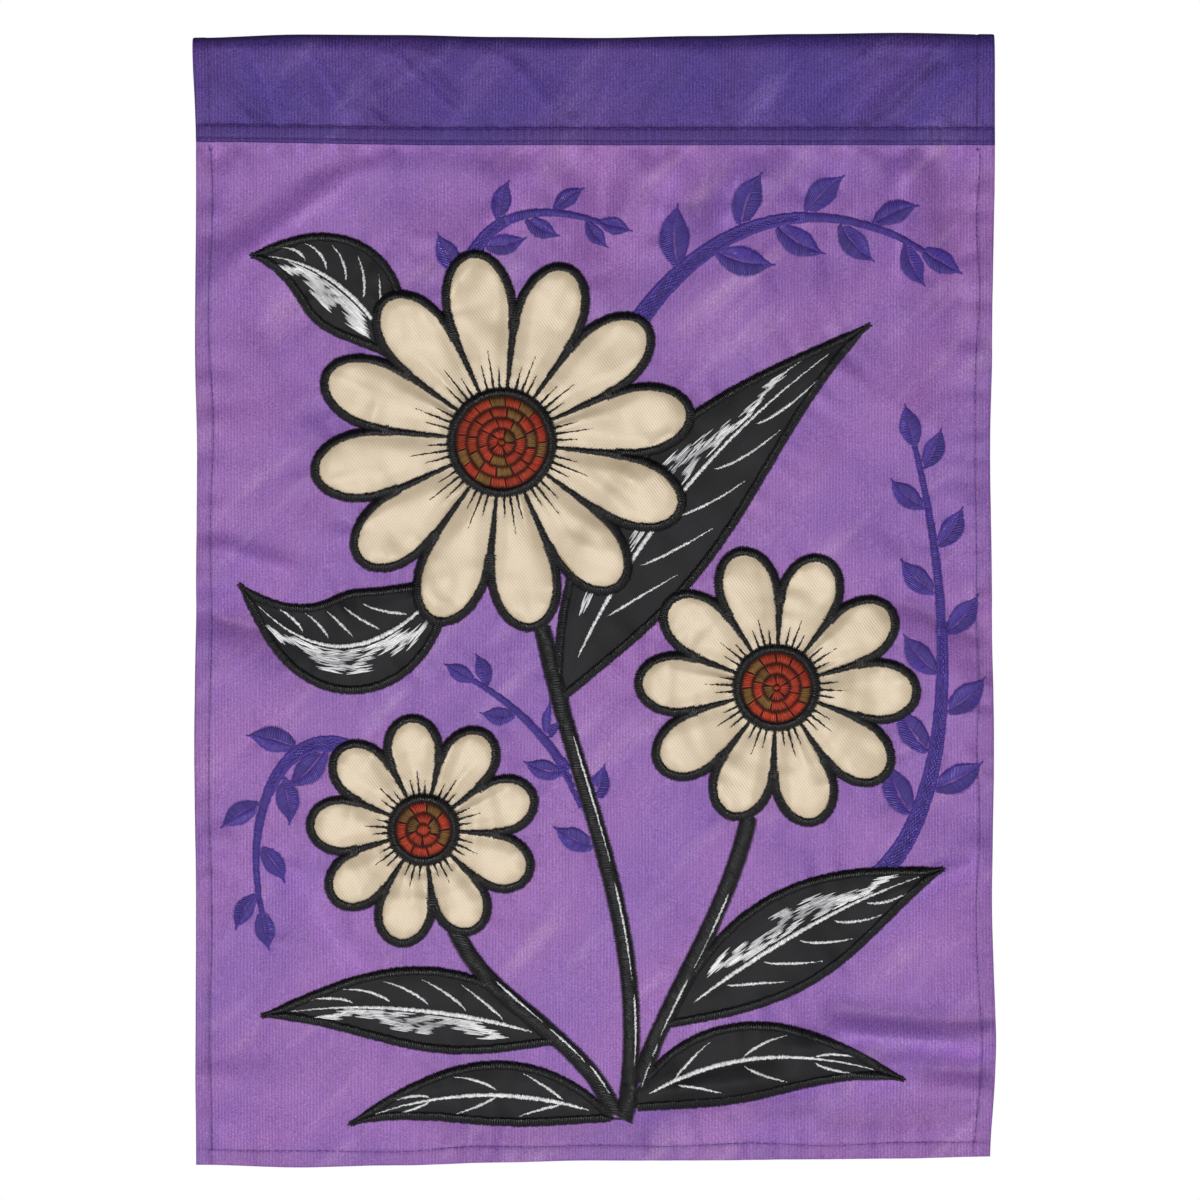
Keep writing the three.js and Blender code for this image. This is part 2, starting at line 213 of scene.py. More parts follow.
UNEVEN = Values(amount=0.045, rate=2.3)
LEAF_FORM = Values(point=0.35, low=0.8, slim=1.25)
SPRIG_TIP = 2.6
LEAFLET = Values(first=0.2, last=0.94, spread=0.9, closing=0.25, shrink=0.35, end=0.7, bow=0.14, width=0.5)
CURVE_STEPS = 100
OUTLINE_STEPS = 26


def smooth(t):
    c = np.clip(t, 0.0, 1.0)
    return c * c * (3 - 2 * c)


def near(distance, width):
    """1 at no distance, fading softly to nothing past a width."""
    return np.exp(-((distance / width) ** 2))


def fading(distance, reach):
    """1 at no distance, and a third of what is left after each reach."""
    return np.exp(-distance / reach)


def join(*parts):
    """Arrays as the last axis of one, such as coordinates as points."""
    return np.stack(parts, axis=-1)


def between(places, values, at):
    """A table's value at places between its rows."""
    i = np.clip(np.searchsorted(places, at), 1, len(places) - 1)
    share = smooth((at - places[i - 1]) / (places[i] - places[i - 1]))
    return values[i - 1] + (values[i] - values[i - 1]) * share


def edge(side, z):
    """How far from the middle the left or the right edge is."""
    return HALF_WIDTH + between(SIDES["depth"], SIDES[side], -z)


def foot(x):
    """How high the bottom edge is."""
    return BOTTOM - between(ENDS["x"], ENDS["drop"], x)


def ridges(rows, x, z):
    """The summed height of a table's soft ridges at points."""
    total = 0
    for x0, z0, x1, z1, width, height in zip(*rows.values()):
        dx, dz = x1 - x0, z1 - z0
        t = np.clip(((x - x0) * dx + (z - z0) * dz) / (dx * dx + dz * dz), 0, 1)
        total = total + height * near(np.hypot(x - x0 - t * dx, z - z0 - t * dz), width)
    return total


LENGTHS = (0.7, 1.6)


def waves(x, z, size, seed, count=9):
    """Soft even undulation of about one unit, its waves about the given size long."""
    rng = np.random.default_rng(seed)
    total = 0
    for _ in range(count):
        heading, phase = rng.uniform(0, TURN, 2)
        length = size * rng.uniform(*LENGTHS)
        total = total + np.sin((x * math.cos(heading) + z * math.sin(heading)) * TURN / length + phase)
    return total / math.sqrt(count / 2)


def ripple(run, size, seed, count=5):
    """The same along a line."""
    rng = np.random.default_rng(seed)
    total = 0
    for _ in range(count):
        total = total + np.sin(run * TURN / (size * rng.uniform(*LENGTHS)) + rng.uniform(0, TURN))
    return total / math.sqrt(count / 2)


# Lines and outlines, as arrays of (x, z) points.
def bezier(points):
    t = np.linspace(0, 1, CURVE_STEPS + 1)[:, None]
    order = len(points) - 1
    return sum(
        math.comb(order, i) * t**i * (1 - t) ** (order - i) * np.array([x, -v], float)
        for i, (x, v) in enumerate(points)
    )


def distances(line):
    """The distance run along a line at each of its points."""
    return np.concatenate([[0], np.cumsum(np.hypot(*np.diff(line, axis=0).T))])


def headings(line, closed=False):
    """Unit vectors along a line at each of its points."""
    ahead = np.roll(line, -1, axis=0) - np.roll(line, 1, axis=0)
    if not closed:
        ahead[0], ahead[-1] = line[1] - line[0], line[-1] - line[-2]
    return ahead / np.maximum(np.hypot(*ahead.T), 1e-9)[:, None]


def leftward(vectors):
    """Vectors turned a quarter turn to the left, as seen from the front."""
    return join(-vectors[:, 1], vectors[:, 0])


def walk(at, run, line):
    """A line's points where its run has given values."""
    return join(*(np.interp(at, run, column) for column in line.T))


def resample(line, step, closed=False):
    """Even steps along a line: its points, its headings and the distance run."""
    full = np.vstack([line, line[:1]]) if closed else line
    run = distances(full)
    count = max(2, round(run[-1] / step))
    at = np.linspace(0, run[-1], count + (not closed), endpoint=not closed)
    points = walk(at, run, full)
    return points, headings(points, closed), at


def part_of(line, start, end):
    """The stretch of a line between two shares of its length."""
    run = distances(line)
    return walk(np.linspace(start * run[-1], end * run[-1], CURVE_STEPS), run, line)


def inside(points, outline):
    """Which points lie inside an outline."""
    found = ((points >= outline.min(axis=0)) & (points <= outline.max(axis=0))).all(axis=1)
    x, z = points[found, :1], points[found, 1:]
    x0, z0 = outline.T
    x1, z1 = np.roll(outline, -1, axis=0).T
    rise = np.where(z1 == z0, 1e-9, z1 - z0)
    crossed = ((z0 > z) != (z1 > z)) & (x < (x1 - x0) * (z - z0) / rise + x0)
    found[found] = crossed.sum(axis=1) % 2 == 1
    return found


def hidden(points, uppers):
    """Which points lie under any of some outlines."""
    under = np.zeros(len(points), bool)
    for outline in uppers:
        under |= inside(points, outline)
    return under


def turning(outline):
    """1 where an outline runs counter-clockwise as seen from the front, else -1."""
    x, z = outline.T
    return 1 if (x * np.roll(z, -1) - np.roll(x, -1) * z).sum() > 0 else -1


def band(line, half):
    """The outline of a band along a line, with a half width at each of its points."""
    side = leftward(headings(line)) * np.broadcast_to(half, len(line))[:, None]
    return np.vstack([line - side, (line + side)[::-1]])


def outlines(things):
    return [thing.outline for thing in things]


def shape_leaf(leaf):
    """Gives a leaf its line, unit vectors to the left of it, half widths and outline."""
    leaf.line = bezier((leaf.base, leaf.bend, leaf.tip))
    leaf.side = leftward(headings(leaf.line))
    full = np.maximum(0, np.sin(math.pi * np.linspace(0, 1, CURVE_STEPS + 1) ** LEAF_FORM.low))
    leaf.half = np.maximum(LEAF_FORM.point, leaf.width / 2 * full**LEAF_FORM.slim)
    leaf.outline = band(leaf.line, leaf.half)
    return leaf


def leaflet(base, angle, side, long):
    along = np.array([math.cos(angle), math.sin(angle)])
    bow = LEAFLET.bow * long * side * np.array([-along[1], along[0]])
    tip = base + along * long
    return shape_leaf(Values(base=base, bend=(base + tip) / 2 + bow, tip=tip, width=long * LEAFLET.width))


def leaflets(sprig):
    """A sprig's leaflets as leaves: alternate ones along its stalk and one at its end."""
    line = bezier(sprig.run) * (1, -1)
    ahead = headings(line)
    count = 2 * sprig.pairs
    made = []
    for j in range(count):
        t = LEAFLET.first + (LEAFLET.last - LEAFLET.first) * j / (count - 1)
        i = round(t * CURVE_STEPS)
        side = 1 if j % 2 else -1
        angle = math.atan2(ahead[i, 1], ahead[i, 0]) + side * LEAFLET.spread * (1 - LEAFLET.closing * t)
        made.append(leaflet(line[i], angle, side, sprig.leaflet * (1 - LEAFLET.shrink * t)))
    angle = math.atan2(ahead[-3, 1], ahead[-3, 0])
    return [*made, leaflet(line[-3], angle, 0, sprig.leaflet * LEAFLET.end)]


def flower_reach(flower, angle):
    """A flower's reach at angles, and how far each of them turns from a line between petals."""
    petal, share = np.divmod((angle - flower.turn) * flower.petals / TURN, 1)
    length = 1 + UNEVEN.amount * np.sin(UNEVEN.rate * (petal % flower.petals) + flower.radius)
    reach = NOTCH + (1 - NOTCH) * np.sqrt(np.maximum(0, np.sin(math.pi * share))) * length
    return reach * flower.radius, (0.5 - np.abs(share - 0.5)) * TURN / flower.petals


def flower_angles(flower, steps):
    """Angles round a flower that crowd together at the notches, counter-clockwise."""
    share = (1 - np.cos(math.pi * np.arange(steps) / steps)) / 2
    petal = np.arange(flower.petals)[:, None]
    return (flower.turn + TURN * (petal + share) / flower.petals).ravel()[::-1]


def round_point(flower, angle, reach):
    """Points at angles and reaches from a flower's middle."""
    return join(flower.x + reach * np.cos(angle), -flower.v - reach * np.sin(angle))


for flower in FLOWERS:
    around = flower_angles(flower, OUTLINE_STEPS)
    flower.outline = round_point(flower, around, flower_reach(flower, around)[0])
for leaf in LEAVES:
    shape_leaf(leaf)
for stem in STEMS:
    stem.line = bezier(stem.run)
    stem.outline = band(stem.line, stem.width / 2)
    stem.core = band(stem.line, stem.width / 4)
for sprig in SPRIGS:
    sprig.leaves = leaflets(sprig)


# The cloth's height field: fine undulation, and the puckers that the sewing draws.
FIELD_STEP = 1.0
FIELD_X = np.arange(-171, 172, FIELD_STEP)
FIELD_Z = np.arange(-465, -27, FIELD_STEP)
FIELD = join(*np.meshgrid(FIELD_X, FIELD_Z))
DRAG = Values(height=0.36, reach=10.0, size=11.0, sample=2.0)
HEADER_DRAG = Values(height=0.5, reach=14.0, size=13.0, start=4.0, slant=0.15)
HEM_DRAG = Values(height=0.3, reach=7.0, size=13.0)
UNDULATION = Values(height=0.4, size=46.0)


def read_field(values, points):
    """A field's values between its points."""
    u = np.clip((points[..., 0] - FIELD_X[0]) / FIELD_STEP, 0, len(FIELD_X) - 1.001)
    w = np.clip((points[..., 1] - FIELD_Z[0]) / FIELD_STEP, 0, len(FIELD_Z) - 1.001)
    c, r = u.astype(int), w.astype(int)
    u, w = u - c, w - r
    low = values[r, c] * (1 - u) + values[r, c + 1] * u
    high = values[r + 1, c] * (1 - u) + values[r + 1, c + 1] * u
    return low * (1 - w) + high * w


def blur(values, times):
    for axis in (0, 1) * times:
        values = values / 2 + (np.roll(values, 1, axis) + np.roll(values, -1, axis)) / 4
    return values


def spread(values, times):
    """Each point takes the highest value beside it."""
    for axis in (0, 1) * times:
        values = np.maximum(values, np.maximum(np.roll(values, 1, axis), np.roll(values, -1, axis)))
    return values


def nearest(samples, points):
    """How far each point is from its nearest sample, and which sample that is."""
    tree = KDTree(len(samples))
    for i, (x, z) in enumerate(samples):
        tree.insert((x, 0, z), i)
    tree.balance()
    found = [tree.find((x, 0, z)) for x, z in points.reshape(-1, 2)]
    index, away = (np.array([one[k] for one in found]).reshape(points.shape[:-1]) for k in (1, 2))
    return away, index


def puckers(edges):
    """Drag lines that run out from embroidered edges and fade with distance."""
    points, _, run = map(np.concatenate, zip(*(resample(outline, DRAG.sample, True) for outline in edges)))
    away, index = nearest(points, FIELD)
    return blur(fading(away, DRAG.reach) * ripple(run, DRAG.size, 5)[index], 3)


def make_field():
    x, z = FIELD[..., 0], FIELD[..., 1]
    below = np.maximum(0, CALM_BOTTOM - z)
    free = smooth(below / SEAM_CALM)
    values = free * ridges(PANEL_CRESTS, x, z)
    values += UNDULATION.height * free * waves(x, z, UNDULATION.size, 3)
    drawn = smooth(below / HEADER_DRAG.start) * fading(below, HEADER_DRAG.reach)
    values += HEADER_DRAG.height * drawn * ripple(x + HEADER_DRAG.slant * below, HEADER_DRAG.size, 4)
    for gap, run, seed in ((x + edge("left", z), z, 6), (edge("right", z) - x, z, 7), (z - foot(x), x, 8)):
        drawn = fading(np.abs(gap - HEM.seam), HEM_DRAG.reach)
        values += HEM_DRAG.height * free * drawn * ripple(run, HEM_DRAG.size, seed)
    leaves = [*LEAVES, *(leaf for sprig in SPRIGS for leaf in sprig.leaves)]
    return values + DRAG.height * free * puckers(outlines([*FLOWERS, *leaves]))


cloth_field = make_field()


def lifted(flat, height):
    """Points in space from (x, z) points at a height over the cloth's middle."""
    x, z = flat[..., 0], flat[..., 1]
    folds = smooth((CALM_BOTTOM - z) / SEAM_CALM) * ridges(FOLDS, x, z)
    return join(x, -(folds + read_field(cloth_field, flat) + height), z)


# A patch is a thin sheet on what lies under it.
PATCH = 0.3
LIFT = 0.06


class Layers:
    """The height of the top of what is laid on the cloth so far."""

    def __init__(self):
        self.heights = np.full(FIELD.shape[:2], FACE)

    def at(self, points):
        return read_field(self.heights, points)

    def lay(self, outline, form):
        """Lays a patch whose cloth bulges as a form says, and gives the heights below and above it."""
        before = self.heights

        def under(points):
            return read_field(before, points)

        def top(points):
            return under(points) + LIFT + PATCH + form(points)

        flat = FIELD.reshape(-1, 2)
        covered = inside(flat, outline)
        raised = np.zeros(len(flat))
        raised[covered] = top(flat[covered])
        self.heights = np.maximum(before, blur(spread(raised.reshape(before.shape), 2), 2))
        return under, top


layers = Layers()


# Meshes.
def add_object(name, data):
    made = bpy.data.objects.new(name, data)
    bpy.context.scene.collection.objects.link(made)
    return made


def make(name, points, faces, slot, node, **attributes):
    """A piece from points in millimetres and arrays of triangles and quads."""
    sizes = np.concatenate([np.full(len(f), f.shape[1]) for f in faces])
    corners = np.concatenate([f.ravel() for f in faces]).astype(np.int32)
    mesh = bpy.data.meshes.new(name)
    mesh.vertices.add(len(points))
    mesh.vertices.foreach_set("co", (points * MM).astype(np.float32).ravel())
    mesh.loops.add(len(corners))
    mesh.loops.foreach_set("vertex_index", corners)
    mesh.polygons.add(len(sizes))
    starts = np.concatenate([[0], np.cumsum(sizes)[:-1]]).astype(np.int32)
    mesh.polygons.foreach_set("loop_start", starts)
    mesh.polygons.foreach_set("use_smooth", np.ones(len(sizes), bool))
    mesh.update(calc_edges=True)
    for label, values in attributes.items():
        made = mesh.attributes.new(label, "FLOAT", "POINT")
        made.data.foreach_set("value", np.asarray(values, np.float32).ravel())
    mesh.materials.append(looks[slot])
    piece = add_object(name, mesh)
    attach(piece, "root")
    if node:
        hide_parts(node)
    return piece


def slab(front, back, ring=False):
    """A closed sheet between two grids of points. Rows run down and columns to the left of down.

    In a ring, rows run outwards from a middle point and columns run round, counter-clockwise.
    """
    rows, columns = front.shape[:2]
    size = rows * columns
    at = np.arange(size).reshape(rows, columns)
    if ring:
        at = np.hstack([at, at[:, :1]])
    under = at + size
    cells = [at[:-1, :-1], at[1:, :-1], at[1:, 1:], at[:-1, 1:]]
    faces = [join(*cells).reshape(-1, 4), join(*cells[::-1]).reshape(-1, 4) + size]
    faces.append(join(at[-1, :-1], under[-1, :-1], under[-1, 1:], at[-1, 1:]))
    points = [front.reshape(-1, 3), back.reshape(-1, 3)]
    if ring:
        middle = np.full(columns, 2 * size)
        faces += [join(middle, at[0, :-1], at[0, 1:]), join(middle + 1, under[0, 1:], under[0, :-1])]
        points += [front[0].mean(axis=0)[None], back[0].mean(axis=0)[None]]
    else:
        faces += [
            join(at[:-1, 0], under[:-1, 0], under[1:, 0], at[1:, 0]),
            join(at[1:, -1], under[1:, -1], under[:-1, -1], at[:-1, -1]),
            join(at[0, 1:], under[0, 1:], under[0, :-1], at[0, :-1]),
        ]
    return np.concatenate(points), faces


def cloth(name, slot, node, front, back, tone, ring=False):
    """A sheet between two grids of points, with the front's tones on both sides."""
    points, faces = slab(front, back, ring)
    tones = np.concatenate([np.tile(tone.ravel(), 2), np.ones(len(points) - 2 * tone.size)])
    return make(name, points, faces, slot, node, tone=tones)


# Thread. A stitch is a closed prism of three rails through four stations.
STATIONS = np.array([0, 0.24, 0.76, 1])
ARCH = np.array([0, 0.85, 0.85, 0])
TAPER = np.array([0.5, 1, 1, 0.5])
PRISM_SIDES = [(k + r, k + (r + 1) % 3, k + 3 + (r + 1) % 3, k + 3 + r) for k in (0, 3, 6) for r in range(3)]
PRISM_TIPS = [(9, 10, 11), (0, 2, 1)]
# Stitch ends are painted darker: painted shade where the thread dips into the cloth.
END_TONE = 0.8
PITCH = 0.7
RAGGED = 0.2
RISE_SPREAD = 0.14


class Stitching:
    """Stitches gathered into one mesh, on the cloth's front or on its back."""

    def __init__(self, seed, side=1):
        self.rng = np.random.default_rng(seed)
        self.side = side
        self.points, self.faces, self.tones, self.hues = [], [], [], []

    def gather(self, points, faces, tones, hues):
        first = sum(map(len, self.points))
        self.points.append(points)
        self.faces += [face + first for face in faces]
        self.tones.append(tones)
        self.hues.append(hues)

    def vary(self, share, count):
        return self.rng.uniform(-share, share, count)[:, None]

    def add(self, starts, ends, low, high, rise, width=0.8, thick=0.32, tone=1.0, uneven=0.2, hue=0.0):
        """Stitches between pairs of points, from a low height to a high one, arched by a rise."""
        count = len(starts)
        if not count:
            return
        along = ends - starts
        unit = along / np.maximum(np.hypot(*along.T), 1e-6)[:, None]
        starts = starts - unit * self.vary(RAGGED, count)
        ends = ends + unit * self.vary(RAGGED, count)
        at = STATIONS[:, None]
        middle = starts[:, None] * (1 - at) + ends[:, None] * at
        low, high, rise, width, tone, hue = (
            np.broadcast_to(value, count)[:, None] for value in (low, high, rise, width, tone, hue)
        )
        rise = rise * (1 + self.vary(RISE_SPREAD, count))
        height = low * (1 - STATIONS) + high * STATIONS + rise * ARCH
        half = width / 2 * TAPER
        rails = []
        for sideways, up in ((-1, -thick / 2), (1, -thick / 2), (0, thick / 2)):
            flat = middle + leftward(unit)[:, None] * (sideways * self.side * half)[..., None]
            rails.append(lifted(flat, (height + up) * self.side))
        # Each stitch's tone varies at random, with painted shade at its ends.
        shade = tone * (1 + self.vary(uneven, count)) * np.where(ARCH > 0, 1.0, END_TONE)
        first = 3 * len(STATIONS) * np.arange(count)[:, None, None]
        faces = [(first + PRISM_SIDES).reshape(-1, 4), (first + PRISM_TIPS).reshape(-1, 3)]
        points = np.stack(rails, axis=2).reshape(-1, 3)
        self.gather(points, faces, np.repeat(shade, 3), np.repeat(hue, 3 * len(STATIONS)))

    def piece(self, name, slot, node=None):
        points, tones, hues = map(np.concatenate, (self.points, self.tones, self.hues))
        make(name, points, self.faces, slot, node, tone=tones, hue=hues)


# Materials.
class Nodes:
    """Short ways to add to a node tree."""

    def __init__(self, owner):
        owner.use_nodes = True
        self.tree = owner.node_tree

    def node(self, kind, inputs=None, **settings):
        made = self.tree.nodes.new(kind)
        for key, value in settings.items():
            setattr(made, key, value)
        for key, value in (inputs or {}).items():
            self.put(made.inputs[key], value)
        return made

    def put(self, socket, value):
        if isinstance(value, bpy.types.NodeSocket):
            self.tree.links.new(value, socket)
        else:
            socket.default_value = value


class Look(Nodes):
    """A material's nodes. Its colours and patterns are placed in millimetres on the piece."""

    def __init__(self, name):
        self.material = bpy.data.materials.new(name)
        super().__init__(self.material)
        self.shader = self.tree.nodes["Principled BSDF"]
        place = self.node("ShaderNodeTexCoord").outputs["Object"]
        self.place = self.vector("MULTIPLY", place, (1 / MM,) * 3)

    def vector(self, operation, a, b):
        return self.node("ShaderNodeVectorMath", {0: a, 1: b}, operation=operation).outputs[0]

    def math(self, operation, a, b=0.0):
        return self.node("ShaderNodeMath", {0: a, 1: b}, operation=operation).outputs[0]

    def times(self, a, b):
        return self.math("MULTIPLY", a, b)

    def plus(self, a, b):
        return self.math("ADD", a, b)

    def noise(self, size, detail=2.0, rough=0.5, turn=0.0):
        """Noise from 0 to 1, its patches as long as the given sizes and turned about the Y axis."""
        place = self.place
        if turn:
            inputs = {"Vector": place, "Angle": turn}
            place = self.node("ShaderNodeVectorRotate", inputs, rotation_type="Y_AXIS").outputs[0]
        scaled = self.vector("MULTIPLY", place, tuple(1 / s for s in size))
        inputs = {"Vector": scaled, "Scale": 1.0, "Detail": detail, "Roughness": rough}
        return self.node("ShaderNodeTexNoise", inputs).outputs["Fac"]

    def lines(self, direction, period, wander):
        """Even lines from 0 to 1 across a direction, which wander by some millimetres."""
        run = self.node("ShaderNodeVectorMath", {0: self.place, 1: direction}, operation="DOT_PRODUCT")
        shift = self.remap(self.noise((12, 12, 30)), -wander / 2, wander / 2)
        run = self.plus(run.outputs["Value"], shift)
        wave = self.math("SINE", self.times(run, TURN / period))
        return self.plus(self.times(wave, 0.5), 0.5)

    def remap(self, value, low, high):
        inputs = {"Value": value, "To Min": low, "To Max": high}
        return self.node("ShaderNodeMapRange", inputs).outputs[0]

    def sharpen(self, value, start, end):
        inputs = {"Value": value, "From Min": start, "From Max": end}
        return self.node("ShaderNodeMapRange", inputs, interpolation_type="SMOOTHSTEP").outputs[0]

    def mix(self, share, a, b):
        return self.node("ShaderNodeMix", {0: share, 6: a, 7: b}, data_type="RGBA").outputs[2]

    def shade(self, colour, *factors):
        """A colour times factors near 1 and the piece's own tone."""
        whole = reduce(self.times, factors, self.attribute("tone"))
        return self.node("ShaderNodeVectorMath", {0: colour, "Scale": whole}, operation="SCALE").outputs[0]

    def attribute(self, name):
        return self.node("ShaderNodeAttribute", attribute_name=name).outputs["Fac"]

    def bump(self, height, distance):
        inputs = {"Height": height, "Distance": distance * MM, "Strength": 0.5}
        self.put(self.shader.inputs["Normal"], self.node("ShaderNodeBump", inputs).outputs[0])

    def finish(self, colour, roughness, gloss, tint=(1, 1, 1, 1)):
        self.put(self.shader.inputs["Base Color"], colour)
        self.put(self.shader.inputs["Roughness"], roughness)
        self.shader.inputs["Specular IOR Level"].default_value = gloss
        self.shader.inputs["Specular Tint"].default_value = tint
        return self.material


def screen(*levels):
    """A linear colour from 8-bit screen values."""
    values = np.array(levels) / 255
    linear = np.where(values <= 0.04045, values / 12.92, ((values + 0.055) / 1.055) ** 2.4)
    return (*map(float, linear), 1.0)


def ribbed_cloth(look, cool, warm, pale, rib, grain, gloss, painted_sheen_share):
    """Fine upright ribs, a finer weave, a slow drift between a cooler and a warmer tone, and painted sheen in
    pale streaks.
    """
    drift = look.sharpen(look.noise((85, 40, 34), 3.0, turn=0.8), 0.3, 0.7)
    # Painted sheen: slanting streaks where the colour is mixed toward the pale colour.
    painted_sheen = look.sharpen(look.noise((60, 30, 13), 2.0, turn=0.75), 0.5, 0.85)
    ribs = look.lines((1, 0, 0), 1.3, 1.1)
    depth = look.remap(look.noise((9, 9, 24), 3.0, 0.7), -0.5 * rib, 1.7 * rib)
    fibres = look.noise((0.9, 0.9, 11), 3.0, 0.6)
    weave = look.sharpen(look.noise((0.65, 0.65, 0.5), 2.0, 0.75), 0.3, 0.7)
    colour = look.shade(
        look.mix(look.times(painted_sheen, painted_sheen_share), look.mix(drift, screen(*cool), screen(*warm)), screen(*pale)),
        look.plus(look.times(look.math("SUBTRACT", ribs, 0.5), depth), 1.0),
        look.remap(fibres, 0.78, 1.22),
        look.remap(weave, 1 - grain, 1 + grain),
        look.remap(look.noise((7, 7, 11), 3.0), 0.92, 1.08),
    )
    look.bump(look.plus(look.times(ribs, 0.6), look.plus(fibres, weave)), 0.08)
    return look.finish(colour, look.remap(look.noise((14, 14, 22)), 0.37, 0.49), gloss, screen(*pale))


def satin_cloth(look, base, pale, deep):
    """Smooth satin with a fine slanting twill."""
    twill = look.lines((0.80, 0, 0.60), 1.05, 0.6)
    grain = look.noise((0.5, 0.5, 0.5), 2.0, 0.7)
    soft = look.noise((16, 16, 16), 3.0)
    colour = look.shade(
        look.mix(look.sharpen(soft, 0.3, 0.7), screen(*deep), screen(*base)),
        look.remap(twill, 0.86, 1.1),
        look.remap(grain, 0.86, 1.14),
    )
    look.bump(look.plus(look.times(twill, 1.5), grain), 0.04)
    return look.finish(colour, look.remap(soft, 0.38, 0.5), 1.0, screen(*pale))


def black_cloth(look, base, pale):
    """Matt cloth with close ribs."""
    ribs = look.lines((0.97, 0, 0.24), 1.1, 0.7)
    grain = look.noise((0.5, 0.5, 0.9), 2.0, 0.7)
    soft = look.noise((18, 18, 26), 3.0)
    colour = look.shade(
        look.mix(look.sharpen(soft, 0.35, 0.75), screen(*base), screen(*pale)),
        look.remap(ribs, 0.7, 1.3),
        look.remap(grain, 0.7, 1.3),
    )
    look.bump(look.plus(ribs, grain), 0.06)
    return look.finish(colour, look.remap(soft, 0.48, 0.62), 0.16)


def thread(look, base, other, rough, gloss):
    """Lustrous thread whose stitches differ a little, with the twist of its plies."""
    grain = look.noise((0.6, 0.6, 0.6), 2.0, 0.7)
    colour = look.shade(
        look.mix(look.attribute("hue"), screen(*base), screen(*other)),
        look.remap(grain, 0.6, 1.4),
        look.remap(look.noise((6, 6, 6)), 0.9, 1.1),
    )
    look.bump(grain, 0.12)
    roughness = look.math("SUBTRACT", rough + 0.5, look.times(look.attribute("tone"), 0.5))
    return look.finish(colour, roughness, gloss)


# A slot's kind of cloth or thread, its colours on a screen, and its other values.
LOOKS = (
    ("panel_cloth", ribbed_cloth, (120, 84, 157), (134, 90, 158), (196, 164, 196), 0.46, 0.34, 0.9, 0.32),
    ("sleeve_cloth", ribbed_cloth, (66, 51, 119), (76, 54, 118), (150, 128, 190), 0.75, 0.55, 0.7, 0.22),
    ("petal_cloth", satin_cloth, (204, 186, 160), (255, 246, 232), (192, 174, 146)),
    ("leaf_cloth", black_cloth, (22, 22, 24), (30, 30, 33)),
    ("black_thread", thread, (14, 14, 17), (24, 24, 27), 0.34, 0.5),
    ("white_thread", thread, (242, 242, 242), (168, 168, 172), 0.45, 0.5),
    ("violet_thread", thread, (74, 52, 146), (50, 36, 108), 0.38, 0.5),
    ("disc_thread", thread, (172, 54, 34), (124, 88, 44), 0.42, 0.3),
    ("seam_thread", thread, (116, 76, 168), (84, 54, 130), 0.45, 0.3),
)
looks = {slot: kind(Look(slot), *values) for slot, kind, *values in LOOKS}

# Painted sheen and shade: how much paler the cloth's colour is painted on a crest, and how much darker in a
# trough, for each millimetre of its height.
PAINTED_CREST_SHEEN_AND_SHADE = 0.16

# The panel. Its columns and rows crowd together at the hems and their seams.
HEM_LINES = [0, 0.3, 0.8, 2.2, 3.8, 5.0, 5.6, 6.0, 6.4, 6.8, 7.3, 8.2]
TOP_LINES = [0, 2.0, 4.0, 6.0, 7.5, 8.5]
PANEL_STEP = 1.86
SEAM = Values(depth=0.16, width=0.8, wander=0.35, size=70)
SEAM_SEEDS = {"left": 21, "right": 22, "foot": 23}
SLEEVE_BOTTOM = -38.8
# The panel's tone: painted shade along the seams' dents, a darker hem, a painted highlight along the hem's
# step, and painted sheen on the puckers under the sleeve.
PANEL_TONE = Values(seam=0.18, hem=0.09, step=0.05, drawn=0.16)
PAINTED_PUCKER_SHEEN = Values(reach=4.5, size=11)


def crowded(total, first, last, step):
    """Distances along a span: set ones near each end, and even steps between."""
    count = round((total - first[-1] - last[-1]) / step)
    inner = np.linspace(first[-1], total - last[-1], count + 1)[1:-1]
    return np.concatenate([first, inner, total - np.array(last)[::-1]])


def fold_edge(gap):
    """Next to nothing at a folded edge, and 1 where the fold's round ends."""
    t = np.clip(gap / HEM.fold, 0, 1)
    return np.maximum(0.06, np.sqrt(t * (2 - t)))


def seam_gap(run, side):
    """How far a hem's seam runs from the edge."""
    return HEM.seam + SEAM.wander * ripple(run, SEAM.size, SEAM_SEEDS[side])


